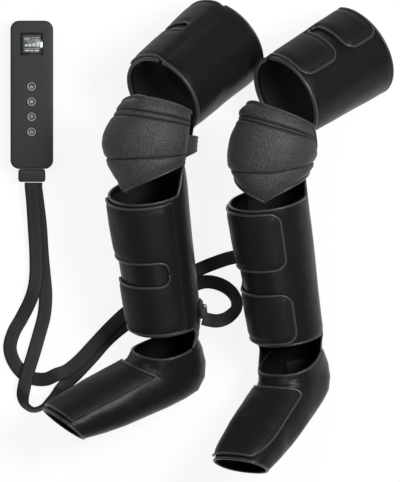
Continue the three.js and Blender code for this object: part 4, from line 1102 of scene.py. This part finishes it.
# Thigh wraps: wide satin cuffs above the knee with piped rims, the broadest at the knee end,
# and a quilted liner.
for name, leg in legs.items():
    angles = np.linspace(-9, 342, 150)
    pieces = [wrap_skin(leg, "thigh", thigh_radius, angles, 70, lambda angle: thigh_height, 51, 0.002)]
    heights = np.linspace(cord_inset, thigh_height - cord_inset, 60)
    for angle, height, radius in [
        (angles, 0.0026, 0.0034), (angles, heights[-1], 0.0022),
        (np.full(60, -9.0), heights, 0.0022), (np.full(60, 342.0), heights, 0.0022),
    ]:
        line = around(angle, thigh_radius(height) - cord_inset, height)
        pieces.append(piping(on_leg(line, leg, "thigh"), radius))
    thigh = joined(f"{name}_thigh_cover", *pieces)
    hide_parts(f"{name}_thigh_wrap")
    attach(thigh, f"{name}_thigh")

    liner = quilted_liner(f"{name}_thigh_liner", leg, "thigh", thigh_radius, thigh_height, (3, 330), 50, 2)
    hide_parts(f"{name}_thigh_air_chamber")
    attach(liner, f"{name}_thigh")


# Knee webs: thin stretch cloth behind each knee, sewn between the calf's tall back panel and the
# thigh cuff, with a few shallow tucks.
for name, leg in legs.items():
    angle, share = grid(np.linspace(128, 232, 60), np.linspace(0, 1, 30))
    calf_end = calf_height + calf_back_rise
    thigh_turn = leg["knee_to_thigh"]

    def web(offset):
        calf = around(angle, calf_radius(calf_end) - offset, calf_end + 0.0003)
        calf = calf + np.array([knee_set_back, 0, -knee_height])
        thigh = around(angle, thigh_radius(0) - offset, -0.0003)
        thigh = thigh @ thigh_turn[:3, :3].T + thigh_turn[:3, 3]
        return calf + (thigh - calf) * share[..., None]

    tuck = 0.0006 * np.sin(share * math.pi * 5)
    gusset = skin(f"{name}_knee_web", leg, "knee", web(tuck), web(tuck + web_thickness), web_cloth)
    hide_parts(f"{name}_knee_gusset")
    middle = on_leg(web(0.0)[30], leg, "knee")
    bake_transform(gusset)


# Hose inlets and connectors: a soft rubber patch on the back of each calf, and the connector
# block on it with its small bright release button. The left block sits a little lower on its patch.
port_rubber = rubber_material("port_rubber", (0.022, 0.022, 0.024), 0.45, 0.2)
fitting_metal = plain_material("release_fitting", (0.45, 0.46, 0.48), 0.3, 1.0)
port_angle, port_half_angle, port_low, port_high, port_gap = 210, 12, 0.008, 0.036, 0.0006
for name, leg in legs.items():
    angles = np.linspace(port_angle - port_half_angle, port_angle + port_half_angle, 30)
    angle, share = grid(angles, np.linspace(0, 1, 24))
    height = port_low + share * (port_high - port_low)
    from_side = (port_half_angle - np.abs(angle - port_angle)) * 0.00105
    reach = np.minimum(np.minimum(height - port_low, port_high - height), from_side)
    base = calf_radius(height) + port_gap
    outer = around(angle, base + 0.003 + 0.003 * ease(reach / 0.004), height)
    inlet = skin(f"{name}_inlet_patch", leg, "calf", outer, around(angle, base, height), port_rubber)
    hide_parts(f"{name}_hose_inlet")
    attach(inlet, "set")

    matrix = turned_about_z(port_angle * leg["side"])
    matrix[:3, 3] = matrix[:3, :3] @ np.array([calf_radius(port_high) + 0.0069 + 0.0055, 0, 0.023])
    matrix = leg["calf"] @ matrix
    if name == "left":
        matrix[:3, 3] += (-0.006, -0.007, 0)
    low, high = (-0.0055, -0.013, -0.009), (0.0055, 0.013, 0.009)
    parts = [boxed("block", low, high, 0.0028, port_rubber, 4, matrix)]
    for step in (-0.0115, 0.0115):
        low, high = (-0.0058, step - 0.0006, -0.0062), (0.0058, step + 0.0006, 0.0062)
        parts.append(boxed("grip", low, high, 0.0005, port_rubber, 2, matrix))
    low, high = (0.001, -0.0045, 0.0082), (0.0058, 0.0045, 0.0104)
    parts.append(boxed("release", low, high, 0.0006, fitting_metal, 3, matrix))
    connector = joined(f"{name}_connector_block", *parts)
    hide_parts(f"{name}_hose_connector")
    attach(connector, "set")
